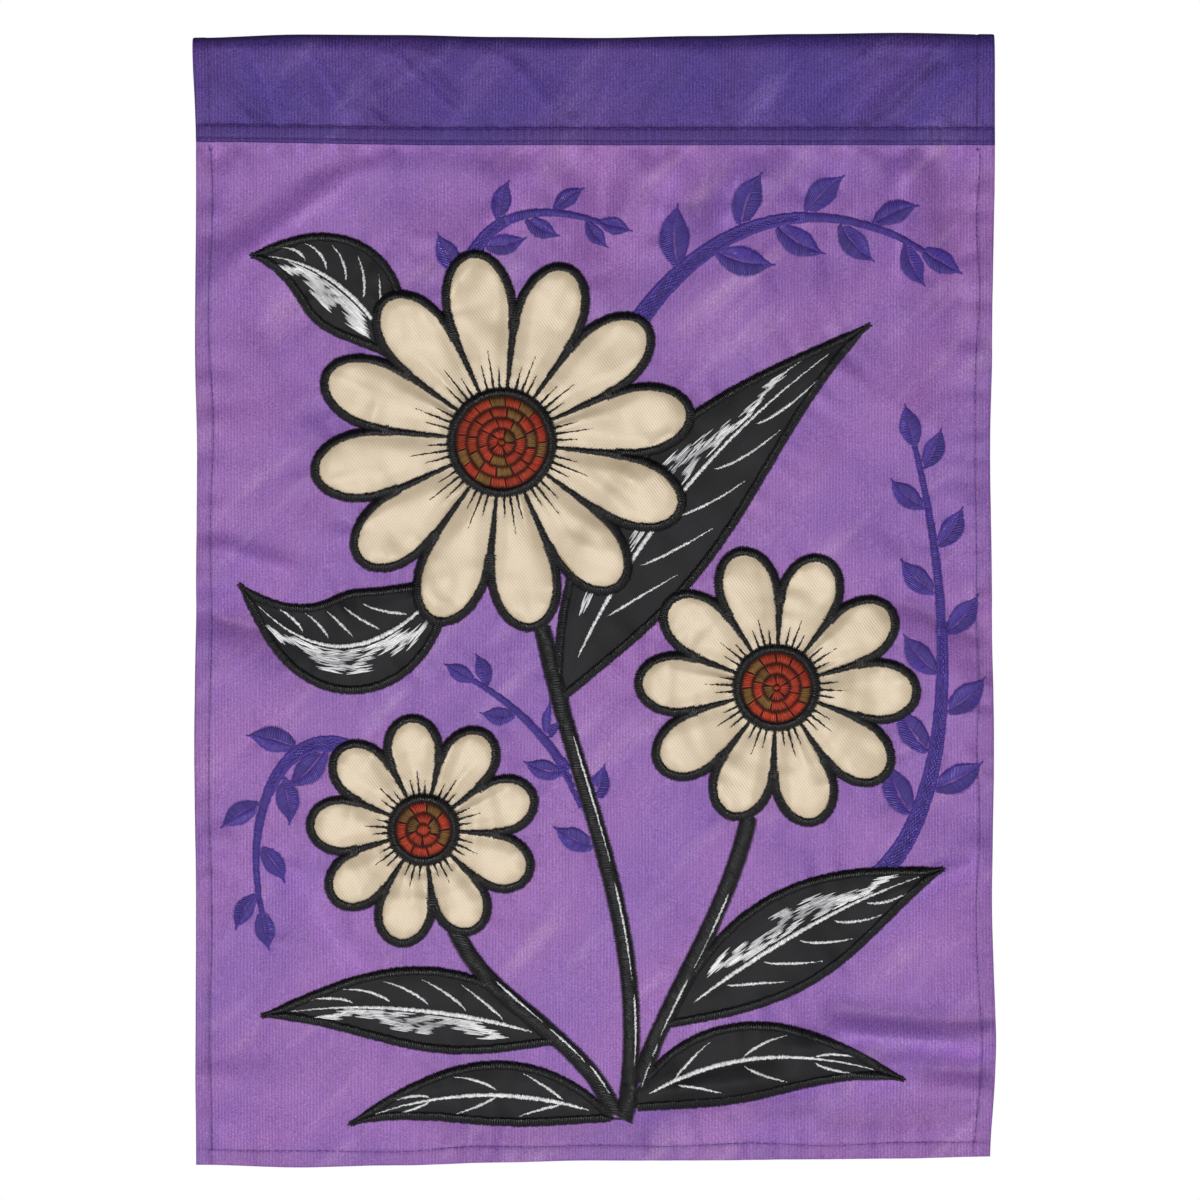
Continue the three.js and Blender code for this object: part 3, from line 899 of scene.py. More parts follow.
def panel_piece():
    width, height = 2 * HALF_WIDTH, PANEL_TOP - BOTTOM
    across = crowded(width, HEM_LINES, HEM_LINES, PANEL_STEP)
    across, down = np.meshgrid(across, crowded(height, TOP_LINES, HEM_LINES, PANEL_STEP))
    z = PANEL_TOP + (foot(across - HALF_WIDTH) - PANEL_TOP) * down / height
    left, right = -edge("left", z), edge("right", z)
    x = left + (right - left) * across / width
    gaps = {"left": across, "right": width - across, "foot": height - down}
    gap = np.min(list(gaps.values()), axis=0)
    below = CALM_BOTTOM - z
    folded = smooth((HEM.width + 0.25 - gap) / 0.5) * smooth(below / 1.5)
    half = (CLOTH + HEM.extra * folded) / 2
    middle = HEM.rise * smooth((HEM.width + 0.6 - gap) / 1.2) - HEM.extra * folded / 2
    runs = {"left": z, "right": z, "foot": x}
    sewn = sum(near(gaps[side] - seam_gap(runs[side], side), SEAM.width) for side in gaps) * smooth(below / 2)
    front = lifted(join(x, z), middle + half * fold_edge(gap) - SEAM.depth * sewn)
    back = lifted(join(x, z), middle - half * fold_edge(gap) + SEAM.depth / 2 * sewn)
    # Painted sheen: pale spots on the puckers just under the sleeve.
    drawn = near(z - SLEEVE_BOTTOM, PAINTED_PUCKER_SHEEN.reach) * np.maximum(0, ripple(x, PAINTED_PUCKER_SHEEN.size, 15))
    # Painted shade darkens the seams. Painted highlights run along the hem's step and the crests, with
    # painted shade in the troughs.
    tone = 1 - PANEL_TONE.seam * sewn - PANEL_TONE.hem * folded + PANEL_TONE.drawn * drawn
    tone += PANEL_TONE.step * near(gap - HEM.width - 0.6, 0.8) + PAINTED_CREST_SHEEN_AND_SHADE * ridges(PANEL_CRESTS, x, z)
    piece = cloth("panel_cloth", "panel_cloth", "panel", front, back, tone)


# The sleeve: one strip over the pole, its two edges turned in and sewn through the panel's top.
SLEEVE = Values(radius=5.6, grip=0.56, turned=0.42, turn_in=7.0, sides=0.14)
SLEEVE_DRAG = Values(height=0.2, reach=6, start=2, size=9, slant=0.5)
SLEEVE_WAVES = Values(height=0.16, size=17)
# The sleeve's tone: a darker strip with a fine ripple, painted shade at the rolled lower edge, and painted
# shade along the side seams.
SLEEVE_TONE = Values(strip=0.14, foot=0.2, foot_reach=0.7, side=0.12, ruffle=0.1, ruffle_size=2.6)
SEAM_TOP = -31.8
SEAM_LOW = -36.8
SIDE_SEAMS = (5.8, 7.1)
STRIP_SHARES = [0, 0.04, 0.11, 0.19, 0.25, 0.29, 0.33, 0.42, 0.55, 0.7, 0.84, 0.92, 1.0]
WALL_ROWS = 28
ARC_ROWS = 12
SLEEVE_STEP = 1.6
LEFT_RISE = Values(height=1.3, start=-60, over=100)


def seam_rise(x):
    """How much higher the sleeve's seams run on the left."""
    return LEFT_RISE.height * smooth((LEFT_RISE.start - x) / LEFT_RISE.over)


def sleeve_stand(x, z, front):
    """How far out the sleeve's middle stands from the panel's, below the pole."""
    top = SEAM_TOP + seam_rise(x)
    wall = SLEEVE.grip + (SLEEVE.radius - SLEEVE.grip) * smooth(1 - z / top) ** 0.9
    free = smooth((z - top) / 8) * smooth((2 - z) / 6)
    creases = (ridges(CREASES, x, z) + ridges(SLEEVE_CRESTS, x, z)) * (1.0 if front else -0.8)
    creases = creases + SLEEVE_WAVES.height * waves(x, z, SLEEVE_WAVES.size, 12)
    drawn = fading(np.maximum(0, z - top), SLEEVE_DRAG.reach) * smooth((z - top) / SLEEVE_DRAG.start)
    drawn = SLEEVE_DRAG.height * drawn * ripple(x + SLEEVE_DRAG.slant * z, SLEEVE_DRAG.size, 13)
    return wall + creases * free + drawn


def sleeve_piece():
    across = crowded(2 * HALF_WIDTH, HEM_LINES, HEM_LINES, SLEEVE_STEP)
    x = across - HALF_WIDTH
    top, bottom = SEAM_TOP + seam_rise(x), SLEEVE_BOTTOM + seam_rise(x)
    strip = [bottom + (top - bottom) * share for share in STRIP_SHARES]
    wall = [top * (1 - i / WALL_ROWS) for i in range(1, WALL_ROWS + 1)]
    side_z = np.array(strip + wall)
    turns = np.linspace(0, math.pi, ARC_ROWS + 1)[1:-1, None]
    arc_y = SLEEVE.radius * np.cos(turns) + 0 * x
    arc_z = (SLEEVE.radius + between(ENDS["x"], ENDS["lift"], x)) * np.sin(turns)
    y = np.vstack([sleeve_stand(x, side_z, False), arc_y, -sleeve_stand(x, side_z, True)[::-1]])
    z = np.vstack([side_z, arc_z, side_z[::-1]])
    ahead_y, ahead_z = np.gradient(y, axis=0), np.gradient(z, axis=0)
    long = np.hypot(ahead_y, ahead_z)
    low = z - seam_rise(x)
    in_strip = smooth((SEAM_TOP + 0.4 - low) / 0.8)
    gap = np.minimum(across, 2 * HALF_WIDTH - across)
    side_seam = near(gap - np.where(x < 0, *SIDE_SEAMS), 0.7) * (1 - in_strip)
    sewn = near(low - SEAM_TOP, 0.6) + near(low - SEAM_LOW, 0.6) + side_seam
    turned = SLEEVE.turned * in_strip + SLEEVE.sides * smooth((HEM.width - gap) / 0.5) * (1 - in_strip)
    round_off = fold_edge(gap) * fold_edge(low - SLEEVE_BOTTOM)
    outer = (CLOTH / 2 + turned) * round_off - SEAM.depth * sewn
    inner = CLOTH / 2 * round_off
    outwards = np.where(x < 0, HALF_WIDTH - edge("left", z), edge("right", z) - HALF_WIDTH)
    x = x + outwards * np.abs(x / HALF_WIDTH) ** 6
    normal = join(np.zeros_like(y), ahead_z / long, -ahead_y / long)
    middle = join(x, y, z)
    tone = 1 + (SLEEVE_TONE.ruffle * ripple(x, SLEEVE_TONE.ruffle_size, 14) - SLEEVE_TONE.strip) * in_strip
    # Painted shade at the rolled lower edge and along the side seams, with painted sheen on the crests and
    # painted shade in the troughs.
    tone -= SLEEVE_TONE.foot * fading(np.maximum(0, low - SLEEVE_BOTTOM), SLEEVE_TONE.foot_reach)
    tone += PAINTED_CREST_SHEEN_AND_SHADE * (1 - in_strip) * ridges(SLEEVE_CRESTS, x, z) - SLEEVE_TONE.side * side_seam
    front, back = middle + normal * outer[..., None], middle - normal * inner[..., None]
    piece = cloth("sleeve_cloth", "sleeve_cloth", "pole_sleeve", front, back, tone)


panel_piece()
sleeve_piece()


# Sewing. A height is a number or a function of points.
SINK = 0.08
BACK_STITCH = {"rise": 0.26, "width": 0.85, "thick": 0.28, "uneven": 0.25}
BORDER = Values(outside=1.7, inside=2.3, rise=0.85)


def level(height, points):
    return height(points) if callable(height) else np.full(len(points), float(height))


def sew(threads, starts, ends, height, rise, backs=None, end_height=None, **options):
    """Stitches, and a flatter run of them on the back."""
    high = level(height if end_height is None else end_height, ends)
    threads.add(starts, ends, level(height, starts) - SINK, high - SINK, rise, **options)
    if backs is not None:
        backs.add(starts, ends, FACE - SINK, FACE - SINK, **BACK_STITCH)


def border(threads, outline, low, high, uppers, backs, room=None):
    """Satin stitches across an outline, left out where something lies over them.

    They narrow where the room inside each of the outline's points is small.
    """
    points, ahead, run = resample(outline, PITCH, True)
    outward = -leftward(ahead) * turning(outline)
    inside_reach = np.full(len(points), BORDER.inside)
    if room is not None:
        inside_reach = np.minimum(inside_reach, 0.2 + np.interp(run, distances(outline), room))
    outside_reach = BORDER.outside * (0.45 + 0.55 * inside_reach / BORDER.inside)
    keep = ~hidden(points, uppers)
    points, outward = points[keep], outward[keep]
    outer, inner = points + outward * outside_reach[keep, None], points - outward * inside_reach[keep, None]
    sew(threads, outer, inner, low, BORDER.rise, backs, high)


def satin(threads, line, half, height, rise, uppers=(), backs=None, slant=0.25, **options):
    """A satin column along a line, with a half width at each of its points."""
    points, ahead, run = resample(line, PITCH)
    wide = np.interp(run, distances(line), np.broadcast_to(half, len(line)))[:, None]
    across = (leftward(ahead) + ahead * slant) * wide
    keep = ~hidden(points, uppers)
    sew(threads, (points - across)[keep], (points + across)[keep], height, rise, backs, **options)


def tapered(stroke):
    """A stroke's half widths, which swell from an end and thin out to the other."""
    t = np.linspace(0, 1, stroke.points)
    return stroke.thin + (stroke.thick - stroke.thin) * np.sin(math.pi * t**0.6)


# Patches, drawn up by their stitches.
FLOWER_RINGS = 30
FLOWER_STEPS = 24
LEAF_ROWS = 50
LEAF_COLUMNS = 18
PETAL = Values(height=1.1, beside=8, rim=6, disc=10)
PETAL_ACROSS = Values(height=0.17, reach=6, size=6.5)
PETAL_INWARD = Values(height=0.2, reach=9, size=7)
PETAL_OUTWARD = Values(height=0.2, reach=12, size=5)
PETAL_WAVES = Values(height=0.1, size=18)
LEAF = Values(height=0.6, rim=7, groove=0.4, groove_width=1.8, step=1.5)
LEAF_INWARD = Values(height=0.22, reach=6, size=7)


def from_middle(flower, points):
    """Points' distances and angles from a flower's middle."""
    x, z = points[..., 0] - flower.x, points[..., 1] + flower.v
    return np.hypot(x, z), np.arctan2(-z, x)


def crest(values):
    """A ripple with narrow crests and wide troughs."""
    return np.maximum(0, values) ** 2 - 0.4


def flower_form(flower, points):
    """Petals that stand up between the sewn lines, with drag lines out from those and from the rim."""
    out, angle = from_middle(flower, points)
    reach, aside = flower_reach(flower, angle)
    gap, beside, past_disc = np.maximum(0, reach - out), out * aside, out - flower.disc
    form = PETAL.height * smooth(beside / PETAL.beside) * smooth(gap / PETAL.rim)
    form = form * smooth(past_disc / PETAL.disc)
    across = ripple(out, PETAL_ACROSS.size, 31 + flower.petals)
    inward = crest(ripple(angle * flower.radius, PETAL_INWARD.size, 41))
    outward = crest(ripple(angle * flower.disc, PETAL_OUTWARD.size, 43))
    past_disc = np.maximum(0, past_disc)
    drags = ((PETAL_ACROSS, beside, across), (PETAL_INWARD, gap, inward), (PETAL_OUTWARD, past_disc, outward))
    for drag, away, pattern in drags:
        form = form + drag.height * fading(away, drag.reach) * pattern
    form = form + PETAL_WAVES.height * waves(points[..., 0], points[..., 1], PETAL_WAVES.size, 51)
    return form * smooth(gap / 2.5) * smooth(0.2 + beside / 2)


def flower_piece(flower):
    under, top = layers.lay(flower.outline, lambda points: flower_form(flower, points))
    angle = flower_angles(flower, FLOWER_STEPS)
    reach, aside = flower_reach(flower, angle)
    out = np.concatenate([[0.03], np.linspace(0.1, 1, FLOWER_RINGS)])[:, None] * reach
    flat = round_point(flower, angle, out)
    # Painted shade in the creases along the sewn lines between the petals and at the rim.
    tone = 1 - 0.14 * fading(out * aside, 2.5) - 0.06 * fading(reach - out, 3)
    front, back = lifted(flat, top(flat)), lifted(flat, under(flat) + LIFT)
    node = f"flower_{flower.name}"
    piece = cloth(f"{node}_cloth", "petal_cloth", node, front, back, tone, ring=True)
    return under


def leaf_form(leaf, seed):
    """A leaf that stands up on each side of its midrib, with drag lines in from its rim."""
    rim, midrib = resample(leaf.outline, LEAF.step, True)[0], resample(leaf.line, LEAF.step)[0]

    def form(points):
        gap, index = nearest(rim, points)
        beside, _ = nearest(midrib, points)
        groove = LEAF.groove * near(beside, LEAF.groove_width) * smooth(gap / 3)
        drawn = fading(gap, LEAF_INWARD.reach) * ripple(LEAF.step * index, LEAF_INWARD.size, seed)
        drawn = LEAF_INWARD.height * drawn * smooth(gap / 1.5)
        return LEAF.height * smooth(gap / LEAF.rim) - groove + drawn

    return form


def on_leaf(leaf, t, share):
    """Points on a leaf, at shares of its length and of its half width."""
    at, steps = np.asarray(t) * CURVE_STEPS, np.arange(CURVE_STEPS + 1)
    half = np.interp(at, steps, leaf.half) * share
    return walk(at, steps, leaf.line) + half[:, None] * walk(at, steps, leaf.side)


def leaf_piece(number, leaf):
    under, top = layers.lay(leaf.outline, leaf_form(leaf, 60 + number))
    at = np.linspace(0, CURVE_STEPS, LEAF_ROWS + 1).astype(int)
    share = np.linspace(-1, 1, LEAF_COLUMNS + 1)
    flat = leaf.line[at, None] + leaf.side[at, None] * (leaf.half[at, None] * share)[..., None]
    # Painted shade in the groove along the midrib.
    tone = np.broadcast_to(1.05 - 0.15 * near(share, 0.1), flat.shape[:2])
    front, back = lifted(flat, top(flat)), lifted(flat, under(flat) + LIFT)
    piece = cloth(f"leaf_{number}_cloth", "leaf_cloth", f"leaf_{number}", front, back, tone)
    return under


MIDRIB = Values(first=0.1, last=0.9, share=0.06, thick=0.95, thin=0.15, rise=0.3, points=60)
VEIN = Values(first=0.2, over=0.5, long=0.15, inner=0.12, out=0.62, thick=0.6, thin=0.1, rise=0.22, points=24)
BRUSH = Values(first=0.25, last=0.8, step=0.055, inner=0.16, outer=0.66, indent=0.12, gap=0.58, width=0.62)
GREY = Values(share=0.4, wide=0.17, start=0.52, long=0.22)


def strokes(threads, leaf, rng, uppers):
    """The white highlights on a leaf: a stroke up the midrib, side veins, and a brushed patch."""
    wide = leaf.width > 30
    line = on_leaf(leaf, np.linspace(MIDRIB.first, MIDRIB.last, MIDRIB.points), MIDRIB.share)
    satin(threads, line, tapered(MIDRIB), layers.at, MIDRIB.rise, uppers, hue=0.1)
    veins = 5 if wide else 3
    for i in range(veins):
        start = VEIN.first + VEIN.over * i / (veins - 1)
        for side in (-1, 1):
            if side > 0 and wide and i < veins - 1:
                continue
            t = np.linspace(start, start + VEIN.long, VEIN.points)
            share = side * (VEIN.inner + VEIN.out * np.linspace(0, 1, VEIN.points) ** 0.8)
            satin(threads, on_leaf(leaf, t, share), tapered(VEIN), layers.at, VEIN.rise, uppers, hue=0.2)
    if not wide:
        return
    long = distances(leaf.line)[-1]
    for row, start in enumerate(np.arange(BRUSH.first, BRUSH.last, BRUSH.step)):
        half = leaf.width / 2 * math.sin(math.pi * start**LEAF_FORM.low)
        share = np.arange(BRUSH.inner, BRUSH.outer - BRUSH.indent * (row % 3), BRUSH.gap / half)
        middle = start + rng.uniform(-0.02, 0.02, len(share)) + 0.04 * np.sin(9 * share + row)
        reach = rng.uniform(2.8, 5.2, len(share)) / long
        starts, ends = on_leaf(leaf, middle - reach, share), on_leaf(leaf, middle + reach, share)
        keep = ~hidden((starts + ends) / 2, uppers)
        grey = near(share - GREY.share, GREY.wide) * near(start - GREY.start, GREY.long)
        hue = grey * rng.uniform(0.3, 1.4, len(share))
        sew(threads, starts[keep], ends[keep], layers.at, VEIN.rise, width=BRUSH.width, hue=hue[keep])


DISC = Values(steps=64, rings=16, rim=2.5, least=5.2, dome=1.1, base=0.2, base_tone=0.08, base_hue=0.3)
BLOCK = Values(wide=3.9, pitch=4.35, long=6.2, turn=0.37, slant=0.5, overlap=0.9, rise=0.55)


def ring_of_blocks(threads, flower, outer, ring, top, rng, backs):
    """A ring of satin blocks round a flower's disc. On the back they close up."""
    inner = outer - BLOCK.wide
    middle = (outer + inner) / 2
    blocks = max(5, round(TURN * middle / BLOCK.long))
    per_block = TURN / blocks
    count = round(per_block * middle / PITCH) - 1
    for block in range(blocks):
        angle = (block + BLOCK.turn * ring) * per_block + (np.arange(count) + 0.5) * PITCH / middle
        starts = round_point(flower, angle, outer + rng.uniform(-0.15, 0.15))
        ends, deeper = (
            round_point(flower, angle + BLOCK.slant / middle, inner - more) for more in (0, BLOCK.overlap)
        )
        hue = 1.0 if (3 * block + 2 * ring) % 7 < 2 else rng.uniform(0, 0.15)
        tone = rng.uniform(0.8, 1.12)
        sew(threads, starts, ends, top, BLOCK.rise, hue=hue, tone=tone)
        backs.add(starts, deeper, FACE - SINK, FACE - SINK, hue=hue, tone=tone, **BACK_STITCH)


def disc_piece(flower, edges, backs, edge_backs):
    """A flower's disc: a dark padded base under rings of satin blocks."""
    angle = -np.arange(DISC.steps) * TURN / DISC.steps
    outline = round_point(flower, angle, flower.disc)

    def form(points):
        return DISC.base + DISC.dome * (1 - (from_middle(flower, points)[0] / flower.disc) ** 2)

    under, top = layers.lay(outline, form)
    flat = round_point(flower, angle, np.linspace(0.06, 1, DISC.rings)[:, None] * flower.disc)
    points, faces = slab(lifted(flat, top(flat)), lifted(flat, under(flat) + LIFT), ring=True)
    rng = np.random.default_rng(90 + flower.petals)
    threads = Stitching(70 + flower.petals)
    base = (np.full(len(points), value) for value in (DISC.base_tone, DISC.base_hue))
    threads.gather(points, faces, *base)
    outer, ring = flower.disc - DISC.rim, 0
    while outer > DISC.least:
        ring_of_blocks(threads, flower, outer, ring, top, rng, backs)
        outer, ring = outer - BLOCK.pitch, ring + 1
    offsets = np.arange(-outer + 0.3, outer, PITCH)
    chord = np.sqrt(np.maximum(0.04, outer**2 - offsets**2))
    starts, ends = ((flower.x, -flower.v) + join(offsets, side * chord) for side in (-1, 1))
    sew(threads, starts, ends, top, 0.5, backs, hue=0.1)
    threads.piece(f"disc_{flower.name}_thread", "disc_thread", f"disc_{flower.name}")
    border(edges, outline, under, top, (), edge_backs)


PETAL_LINE = Values(start=0.5, past=2.5, thin=0.7, thick=1.9, rise=0.5, points=30)
RAY = Values(start=1.0, thick=0.62, thin=0.12, rise=0.25, points=20)
RAYS = table("""
share long
0.3 0.13
0.52 0.2
0.73 0.11
""")


def petal_lines(threads, flower, backs):
    """The black lines that part the petals, and short tapered ones up each petal from the disc."""
    for petal in range(flower.petals):
        angle = flower.turn + TURN * petal / flower.petals
        start, end = flower.disc + PETAL_LINE.start, NOTCH * flower.radius + PETAL_LINE.past
        line = round_point(flower, angle, np.linspace(start, end, PETAL_LINE.points))
        half = np.linspace(PETAL_LINE.thin, PETAL_LINE.thick, PETAL_LINE.points)
        satin(threads, line, half, layers.at, PETAL_LINE.rise, backs=backs)
        for share, long in zip(*RAYS.values()):
            start = flower.disc + RAY.start
            reach = np.linspace(start, start + long * flower.radius, RAY.points)
            line = round_point(flower, angle + TURN * share / flower.petals, reach)
            satin(threads, line, np.linspace(RAY.thick, RAY.thin, RAY.points), layers.at, RAY.rise)


# The stalk's satin edges are painted a little paler: a painted highlight on the raised edges.
STALK = Values(edge=1.1, edge_rise=0.55, edge_tone=1.06, slant=0.3, split=2.4, tip_rise=0.6)
SPECKLE = Values(lanes=(-2.7, 2.8, 0.6), step=2.4, shift=1.2, reach=1.4, spare=0.4, rise=0.34)
SPECKLE_THREAD = {"width": 0.95, "uneven": 0.35, "hue": 0.35}
# Split satin's two halves: painted shade on one and a painted highlight on the other.
SPLIT_SATIN = Values(slant=0.45, overlap=0.35, rise=0.42, tones=((-1, 0.88), (1, 1.08)))


def sprig_piece(number, sprig, uppers, backs):
    """A sprig: a stalk with a speckled fill between satin edges, and leaflets in split satin."""
    threads = Stitching(100 + number)
    line = bezier(sprig.run)
    half = np.linspace(sprig.width, SPRIG_TIP, len(line)) / 2
    split = int((half > STALK.split).sum())
    wide_line, wide_half = line[:split], half[:split]
    for way in (-1, 1):
        offset = wide_line + leftward(headings(line))[:split] * (way * (wide_half - STALK.edge))[:, None]
        # Painted highlight on the raised edge columns.
        options = {"slant": STALK.slant * way, "tone": STALK.edge_tone}
        satin(threads, offset, STALK.edge, FACE, STALK.edge_rise, uppers, **options)
    satin(backs, wide_line, wide_half, FACE, uppers=uppers, **BACK_STITCH)
    satin(threads, line[split - 2 :], half[split - 2 :], FACE, STALK.tip_rise, uppers, backs)
    points, ahead, run = resample(wide_line, SPECKLE.step)
    room = np.interp(run, distances(line), half) - 2 * STALK.edge + SPECKLE.spare
    for lane, offset in enumerate(np.arange(*SPECKLE.lanes)):
        middle = points + leftward(ahead) * offset + ahead * SPECKLE.shift * (lane % 2)
        keep = ~hidden(middle, uppers) & (abs(offset) < room)
        starts, ends = (middle - ahead * SPECKLE.reach)[keep], (middle + ahead * SPECKLE.reach)[keep]
        sew(threads, starts, ends, FACE, SPECKLE.rise, **SPECKLE_THREAD)
    over_leaflets = [*uppers, band(line, half)]
    for leaf in sprig.leaves:
        points, ahead, run = resample(leaf.line, PITCH)
        wide = np.interp(run, distances(leaf.line), leaf.half)[:, None]
        # Painted shade on one half of each leaflet, and a painted highlight on the other.
        for way, tone in SPLIT_SATIN.tones:
            ends = points + leftward(ahead) * wide * way + ahead * wide * SPLIT_SATIN.slant
            starts = points - leftward(ahead) * SPLIT_SATIN.overlap * way
            keep = ~hidden((points + ends) / 2, over_leaflets)
            sew(threads, starts[keep], ends[keep], FACE, SPLIT_SATIN.rise, backs, tone=tone)
    threads.piece(f"sprig_{number}_thread", "violet_thread", f"sprig_{number}")


STEM = Values(rise=0.9, slant=0.35)
STEM_STROKE = Values(thick=0.5, thin=0.1, rise=0.3, above=0.75, points=CURVE_STEPS)
STEM_STROKES = table("""
start end offset
0.28 0.52 1.5
0.56 0.74 1.2
0.77 0.9 1.6
""")


def stem_piece(backs, whites):
    """The stems: wide satin columns, with thin white highlights up one side."""
    threads = Stitching(120)
    flowers = outlines(FLOWERS)

    def above(points):
        return layers.at(points) + STEM_STROKE.above

    for i, stem in enumerate(STEMS):
        uppers = flowers + outlines(STEMS[:i])
        satin(threads, stem.line, stem.width / 2, layers.at, STEM.rise, uppers, backs, STEM.slant)
        for start, end, offset in zip(*STEM_STROKES.values()):
            stroke = part_of(stem.line + leftward(headings(stem.line)) * offset, start, end)
            satin(whites, stroke, tapered(STEM_STROKE), above, STEM_STROKE.rise, flowers, hue=0.15)
    threads.piece("stems_thread", "black_thread", "stems")


# Seams, in running stitch.
DASH = Values(long=2.75, step=2.95, rise=0.2, width=0.5)
HEM_TONE, ROW_TONE, SIDE_TONE = 0.8, 0.5, 0.55
SEAM_POINTS = 300
SIDE_SEAM_Z = np.array([-30.4, -1.29])
# Where the seams' thread ends are tacked, and the height of the cloth's face there.
TACKS = table("""
x z height
-157 -40.2 0.35
156.2 -40.4 0.35
-157 -36.5 1.2
156.2 -37.6 1.2
-157.2 -31.6 1.2
""")
TACK = Values(stitches=8, spread=0.3, reach=(0.3, 0.6), rise=0.25, width=0.42)


def dashes(threads, line, height, tone):
    """Running stitches along a line."""
    points, ahead, _ = resample(line, DASH.step)
    points, ahead = points[:-1], ahead[:-1]
    sew(threads, points, points + ahead * DASH.long, height, DASH.rise, width=DASH.width, tone=tone)


def seams():
    """The hems' and the sleeve's stitching, on the front and on the back, with its end tacks."""
    hems = []
    for side, sign in (("left", -1), ("right", 1)):
        z = np.linspace(CALM_BOTTOM + 0.8, foot(sign * HALF_WIDTH) + HEM.seam, SEAM_POINTS)
        hems.append(join(sign * (edge(side, z) - seam_gap(z, side)), z))
    x = np.linspace(hems[0][-1, 0] - 1.5, hems[1][-1, 0] + 1.5, SEAM_POINTS)
    hems.append(join(x, foot(x) + seam_gap(x, "foot")))
    x = np.linspace(0.8 - HALF_WIDTH, HALF_WIDTH - 0.8, SEAM_POINTS)
    rows = [join(x, height + seam_rise(x)) for height in (SEAM_TOP, SEAM_LOW)]
    sides = (SIDE_SEAMS[0] - HALF_WIDTH, HALF_WIDTH - SIDE_SEAMS[1])
    ends = [join(np.full(2, x), SIDE_SEAM_Z) for x in sides]
    strip_face = SLEEVE.grip + FACE + SLEEVE.turned - SEAM.depth
    hem_faces = (FACE + HEM.rise - SEAM.depth, FACE + HEM.extra - HEM.rise - 0.08)
    for label, side, hem_face in zip(("front", "back"), (1, -1), hem_faces):
        threads = Stitching(130 + side, side)

        def wall_face(points, front=side > 0):
            return sleeve_stand(points[:, 0], points[:, 1], front) + FACE - 0.02

        sewn = ((hems, hem_face, HEM_TONE), (rows, strip_face + 0.02, ROW_TONE), (ends, wall_face, SIDE_TONE))
        for lines, height, tone in sewn:
            for line in lines:
                dashes(threads, line, height, tone)
        rng = np.random.default_rng(140)
        for x, z, height in zip(*TACKS.values()):
            middle = (x, z) + rng.normal(0, TACK.spread, (TACK.stitches, 2))
            angle = rng.uniform(0, TURN, TACK.stitches)
            reach = join(np.cos(angle), np.sin(angle)) * rng.uniform(*TACK.reach, TACK.stitches)[:, None]
            sew(threads, middle - reach, middle + reach, height, TACK.rise, width=TACK.width, tone=HEM_TONE)
        threads.piece(f"seam_stitches_{label}", "seam_thread")


def applique():
    """Lays everything on the cloth, from the lowest up."""
    black_back, violet_back, rust_back = (Stitching(seed, -1) for seed in (150, 151, 152))
    edges, whites = Stitching(153), Stitching(154)
    flowers = outlines(FLOWERS)
    for number, sprig in enumerate(SPRIGS, 1):
        sprig_piece(number, sprig, flowers + outlines([*LEAVES, *STEMS]), violet_back)
    rng = np.random.default_rng(155)
    for number in range(len(LEAVES), 0, -1):
        leaf = LEAVES[number - 1]
        uppers = flowers + [stem.core for stem in STEMS] + outlines(LEAVES[: number - 1])
        under = leaf_piece(number, leaf)
        room = np.concatenate([leaf.half, leaf.half[::-1]])
        border(edges, leaf.outline, under, layers.at, uppers, black_back, room)
        strokes(whites, leaf, rng, uppers)
    stem_piece(black_back, whites)
    for flower in FLOWERS:
        under = flower_piece(flower)
        border(edges, flower.outline, under, layers.at, (), black_back)
        petal_lines(edges, flower, black_back)
        disc_piece(flower, edges, rust_back, black_back)
    edges.piece("satin_edges", "black_thread")
    whites.piece("white_highlights", "white_thread")
    black_back.piece("back_black_thread", "black_thread")
    violet_back.piece("back_violet_thread", "violet_thread")
    rust_back.piece("back_rust_thread", "disc_thread")


applique()
seams()


# The stage: a pale floor, a white studio, and soft lights in front, behind and to the sides.
AMBIENT = {"From Min": -0.1, "From Max": 0.5, "To Min": 0.12, "To Max": 0.02}
CAMERA = Values(lens=200, sensor=36, place=(2.04, -2720, -224.3))
AIM = Vector((0, 0, -0.23))
FLOOR = Values(height=-0.9, radius=1.5, steps=64, glow=0.35, rough=0.7)
LIGHTS = records(
    "name place wide high power",
    ("front_key", (-0.16, -2.3, -0.4), 0.4, 0.4, 28.5),
    ("right_side", (1.5, -1.2, -0.75), 0.5, 0.8, 10),
    ("left_side", (-1.6, -1.1, -0.5), 0.5, 0.8, 8),
    ("back_key", (0.5, 2.2, -0.6), 0.5, 0.5, 30),
    ("back_side", (-1.5, 1.4, -0.3), 0.8, 1.2, 12),
    ("top_side", (1.7, 0.6, 1.1), 0.7, 0.7, 11),
)


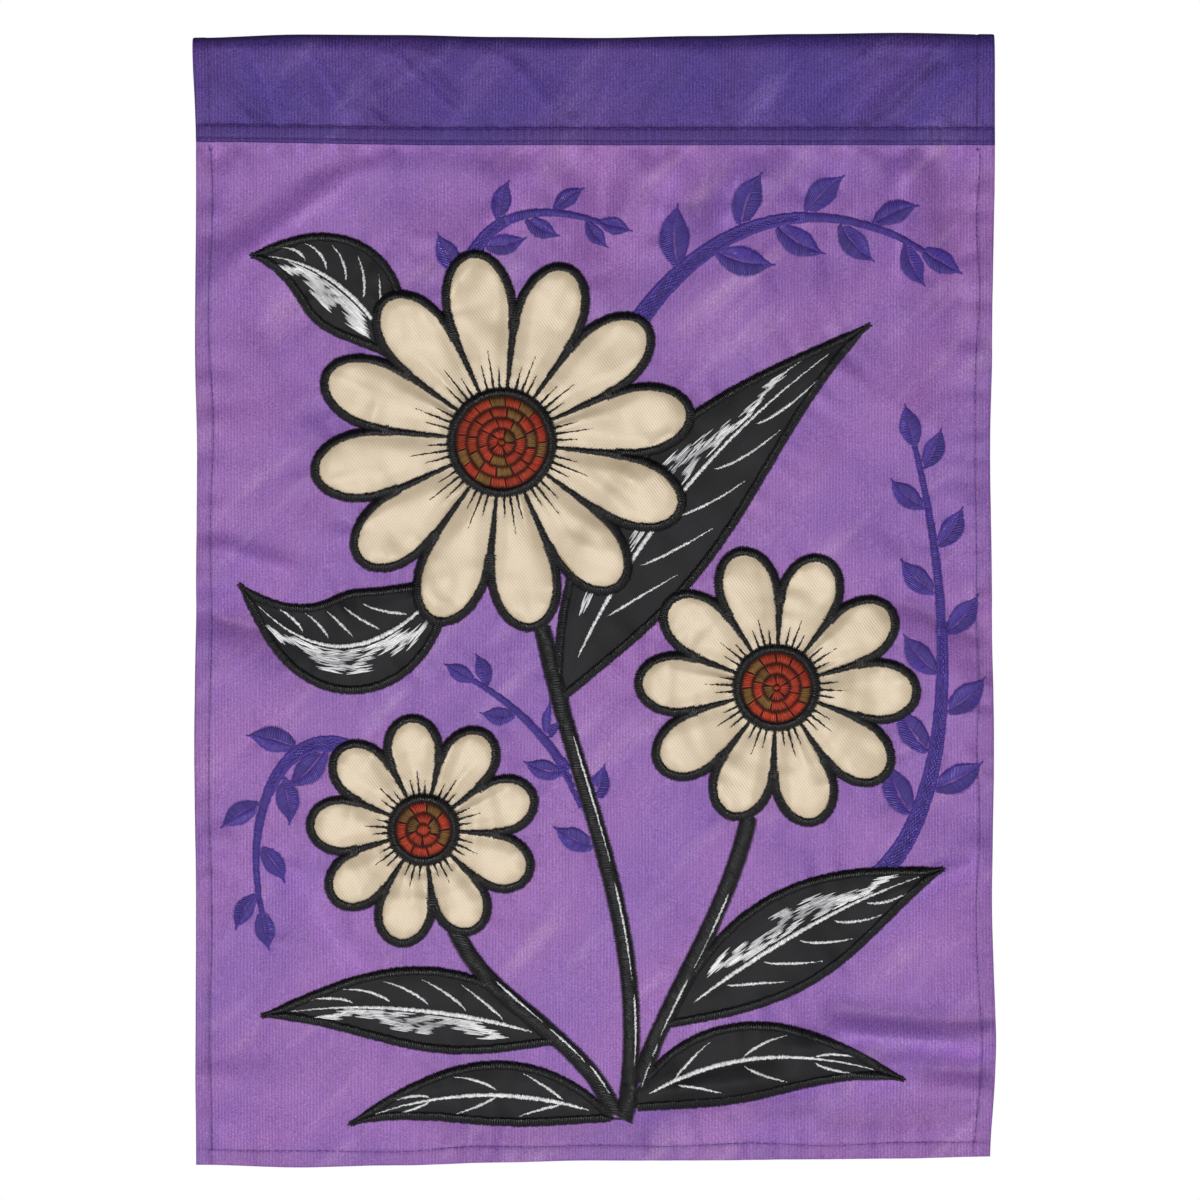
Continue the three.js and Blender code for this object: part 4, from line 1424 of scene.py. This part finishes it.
def add_camera():
    camera = bpy.data.cameras.new("camera")
    camera.lens, camera.sensor_width = CAMERA.lens, CAMERA.sensor
    holder = add_object("camera", camera)
    holder.location = [v * MM for v in CAMERA.place]
    holder.rotation_euler = (math.pi / 2, 0, 0)
    bpy.context.scene.camera = holder


def add_lights():
    """Lights placed in metres and turned to the flag's middle."""
    for light in LIGHTS:
        lamp = bpy.data.lights.new(light.name, "AREA")
        lamp.shape, lamp.size, lamp.size_y, lamp.energy = "RECTANGLE", light.wide, light.high, light.power
        holder = add_object(light.name, lamp)
        holder.location = light.place
        holder.rotation_euler = (AIM - Vector(light.place)).to_track_quat("-Z", "Y").to_euler()


def add_world():
    """White where the camera sees it, and dimmer as a light."""
    world = bpy.data.worlds.new("studio")
    nodes = Nodes(world)
    toward = nodes.node("ShaderNodeTexCoord").outputs["Generated"]
    height = nodes.node("ShaderNodeSeparateXYZ", {0: toward}).outputs["Z"]
    dimmer = nodes.node("ShaderNodeMapRange", {"Value": height, **AMBIENT}).outputs[0]
    seen = nodes.node("ShaderNodeLightPath").outputs["Is Camera Ray"]
    strength = nodes.node("ShaderNodeMix", {0: seen, 2: dimmer, 3: 1.0}).outputs[0]
    background = nodes.tree.nodes["Background"].inputs
    nodes.put(background["Strength"], strength)
    nodes.put(background["Color"], (1, 1, 1, 1))
    bpy.context.scene.world = world


def add_floor():
    look = Look("floor")
    colour = look.mix(look.noise((90, 90, 90), 3.0), (0.80, 0.80, 0.80, 1), (0.84, 0.84, 0.84, 1))
    look.finish(colour, FLOOR.rough, 0.5)
    look.shader.inputs["Emission Color"].default_value = (1, 1, 1, 1)
    look.shader.inputs["Emission Strength"].default_value = FLOOR.glow
    mesh = bpy.data.meshes.new("floor")
    turns = np.arange(FLOOR.steps) * TURN / FLOOR.steps
    ring = [(FLOOR.radius * math.cos(a), FLOOR.radius * math.sin(a), FLOOR.height) for a in turns]
    mesh.from_pydata(ring, [], [list(range(len(ring)))])
    mesh.materials.append(look.material)
    add_object("floor", mesh)


bpy.context.scene.view_settings.view_transform = "Standard"
add_camera()
add_lights()
add_world()
add_floor()
